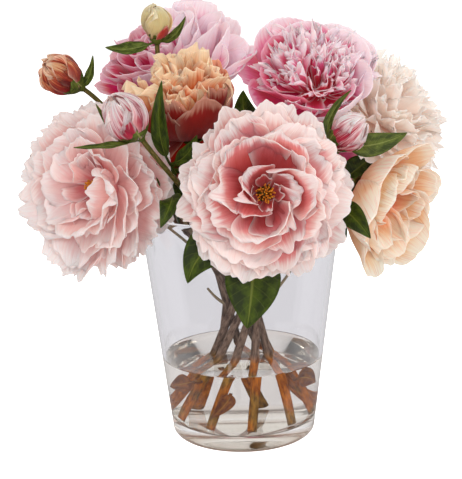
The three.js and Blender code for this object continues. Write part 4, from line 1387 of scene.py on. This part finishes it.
def make_bud_bloom(name, bud, place, rng):
    crumple = bud.get("crumple", 0.4)
    length = bud["length"] * EGG_LENGTH * bud["plump"]
    egg = dict(EGG_FORM, width=bud["radius"] * EGG_WIDTH * bud["plump"], ruffle=crumple, fold=crumple,
               deep=bud["deep"])
    shape = new_shape()
    for turn, share in enumerate((0.94, 1.0, 1.05)):
        add_whorl(shape, rng, 3, length=length * share, lean=(82, bud["close"]), rise=1.4 - 0.7 * turn,
                  start=40 * turn, **egg)
    if name == "top_bud":
        add_whorl(shape, rng, 1, length=length * STRAY_SHARE, **{**egg, **STRAY_PETAL})
    move(shape, place)
    finish_piece(f"{name}_bloom", shape, BUD_PETALS[bud["slot"]], f"{name}_petals", BUD_WALL)


# %% Bud sepals and bracts
BUD_CUP = [(0, -5.2), (2.2, -5.2), (2.8, -4), (5.5, -1.6), (5, -0.6), (0, -0.6)]


def make_bud_sepals(name, bud, place, rng):
    shape = new_shape()
    add_whorl(shape, rng, 4, length=bud["length"] * bud.get("sepal", 0.6), width=bud["radius"] * 1.5,
              lean=(88, -14), ring=2, rise=-1.6, ruffle=0.3, tip=0.3, cell=1.5, **SEPAL_FORM)
    move(shape, place)
    for *points, width, facing in bud["bracts"]:
        add_blade(shape, points, width, facing, rng)
    shape = thickened(shape, LEAF_WALL)
    cup = new_shape()
    add_cup(cup, BUD_CUP)
    move(cup, place)
    shape.from_mesh(to_mesh("cup", cup))
    finish_piece(f"{name}_sepals", shape, SEPAL, f"{name}_calyx")


for number, (name, bud) in enumerate(BUDS.items()):
    rng = chances("bud", number)
    place = bloom_place(bud["base"], bud["axis"])
    make_bud_bloom(name, bud, place, rng)
    make_bud_sepals(name, bud, place, rng)

# %% [markdown]
# Glass and water are the Principled shader with full transmission. Two kinds of ray pass straight through
# instead. A ray on its way to a lamp does, because otherwise the vase would cast the shadow of a solid. So
# does a ray that has been mirrored three times: a real one goes on until it finds its way out, but here it
# would run out of turns and come back black. The foot is left out of that, since its dark edges are real.

# %% Clear finish
# In metres: the height where the foot ends and the wall begins.
ABOVE_FOOT = (0.010, 0.017)


def clear_finish(name, colour, ior, shadow):
    """Clear stuff that lets the light of the lamps through."""
    made, w, shader = new_material(name)
    set_values(shader, Base_Color=paint(colour), Roughness=0.0, IOR=ior, Transmission_Weight=1.0)
    clear = w.node("ShaderNodeBsdfTransparent")
    clear.inputs["Color"].default_value = paint(shadow)
    path = w.path()
    caught = w.times(often_mirrored(w, path), w.ramp(w.split(w.place())[2], *ABOVE_FOOT))
    w.blend(w.calc("MAXIMUM", path["Is Shadow Ray"], caught), shader, clear)
    return made, w, shader


# %% [markdown]
# A thick glass foot is seldom quite white: at its lower edge the light runs a long way through it, and takes
# on the brown of the stems. Here that brown is a painted reflection of the stems in the glass's colour, which
# grows from the middle outward and from above downward, in two steps.

# %% Glass and water
# In metres: from where to where the painted reflection grows, outward for the rim and downward for the body
# and the edge.
FOOT_RIM = (0.034, 0.048)
FOOT_BODY, FOOT_EDGE = (0.014, 0.005), (0.0052, 0.0018)
GLASS_COLOUR, PALE_STEM_REFLECTION, DARK_STEM_REFLECTION = "F9F9FA", "E6DCD4", "6E4E38"


def glass_finish():
    made, w, shader = clear_finish("vase_glass", GLASS_COLOUR, 1.47, "F8F8F8")
    x, y, z = w.split(w.place())
    rim = w.ramp(w.length(w.point(x, y)), *FOOT_RIM)
    body, edge = (w.times(w.ramp(z, *span), rim) for span in (FOOT_BODY, FOOT_EDGE))
    # The brown of the foot is a painted reflection of the stems: pale in its body, dark at its lower edge.
    tint = w.mix(edge, w.mix(body, paint(GLASS_COLOUR), paint(PALE_STEM_REFLECTION)), paint(DARK_STEM_REFLECTION))
    w.put(shader.inputs["Base Color"], tint)
    return made


GLASS = glass_finish()
WATER = clear_finish("water_clear", "FEFAF2", 1.33, "FEFCF8")[0]
print("clear finishes:", GLASS.name, WATER.name)

# %% [markdown]
# The vase is turned glass: one profile, outside and inside, spun round the axis. Its floor is thick and
# domed from below, which is what bends the light under the stems. Its foot and its lip are rounded by arcs.

# %% Vase
VASE_HEIGHT, FOOT_RADIUS, SLOPE, WALL, FOOT_ROUND = 180, 56, 0.122, 2.4, 5
INNER_ROUND = 18
STEPS_AROUND = 96


def vase_radius(z):
    return FOOT_RADIUS + SLOPE * z


def inner_radius(z):
    return vase_radius(z) - WALL


def corner(centre, radius, first, last, steps=6):
    """The points of a rounded corner, from one angle to another in degrees."""
    turns = [math.radians(first + (last - first) * i / steps) for i in range(steps + 1)]
    return [(centre[0] + radius * math.cos(a), centre[1] + radius * math.sin(a)) for a in turns]


def make_clear_piece(name, profile, finish, node):
    """Spins a profile into a piece of glass or water."""
    shape = new_shape()
    add_cup(shape, profile, STEPS_AROUND)
    finish_piece(name, shape, finish, node)


DOME = [(0, 4.6), (12, 4.3), (24, 3.3), (34, 2.0), (42, 0.8), (47, 0.2)]
LIP = WALL / 2
INNER_CORNER = (inner_radius(INNER_ROUND) - FOOT_ROUND, INNER_ROUND)
vase_profile = [
    *DOME,
    *corner((vase_radius(FOOT_ROUND) - FOOT_ROUND, FOOT_ROUND), FOOT_ROUND, -90, 0),
    *((vase_radius(z), z) for z in (7, 60, 120, 176)),
    *corner((vase_radius(VASE_HEIGHT) - LIP, VASE_HEIGHT - LIP), LIP, 0, 180),
    *((inner_radius(z), z) for z in (176, 120, 60, 20)),
    *corner(INNER_CORNER, FOOT_ROUND, 0, -90),
    (30, FLOOR_TOP), (0, FLOOR_TOP),
]
make_clear_piece("glass_vase", vase_profile, GLASS, "vase")

# %% [markdown]
# The water is spun too, and goes a hair into the glass, so that no film of air is left between them to shine
# like silver. Real water climbs a little where it meets glass, and that thin bright line is what tells the
# eye where its surface is, so the profile ends in a small rise.

# %% Water
FILM = 0.15
WATER_LEVEL = 62
brim = inner_radius(WATER_LEVEL)
top = inner_radius(WATER_LEVEL + 1) + FILM
water_profile = [
    (0, FLOOR_TOP - FILM), (30, FLOOR_TOP - FILM),
    *corner(INNER_CORNER, FOOT_ROUND + FILM, -90, 0),
    (inner_radius(20) + FILM, 20), (brim + FILM, WATER_LEVEL),
    (top, WATER_LEVEL + 1), (top, WATER_LEVEL + 1.6), (brim - 0.5, WATER_LEVEL + 0.9),
    (brim - 1.4, WATER_LEVEL + 0.3), (brim - 3, WATER_LEVEL), (30, WATER_LEVEL), (0, WATER_LEVEL),
]
make_clear_piece("vase_water", water_profile, WATER, "water")
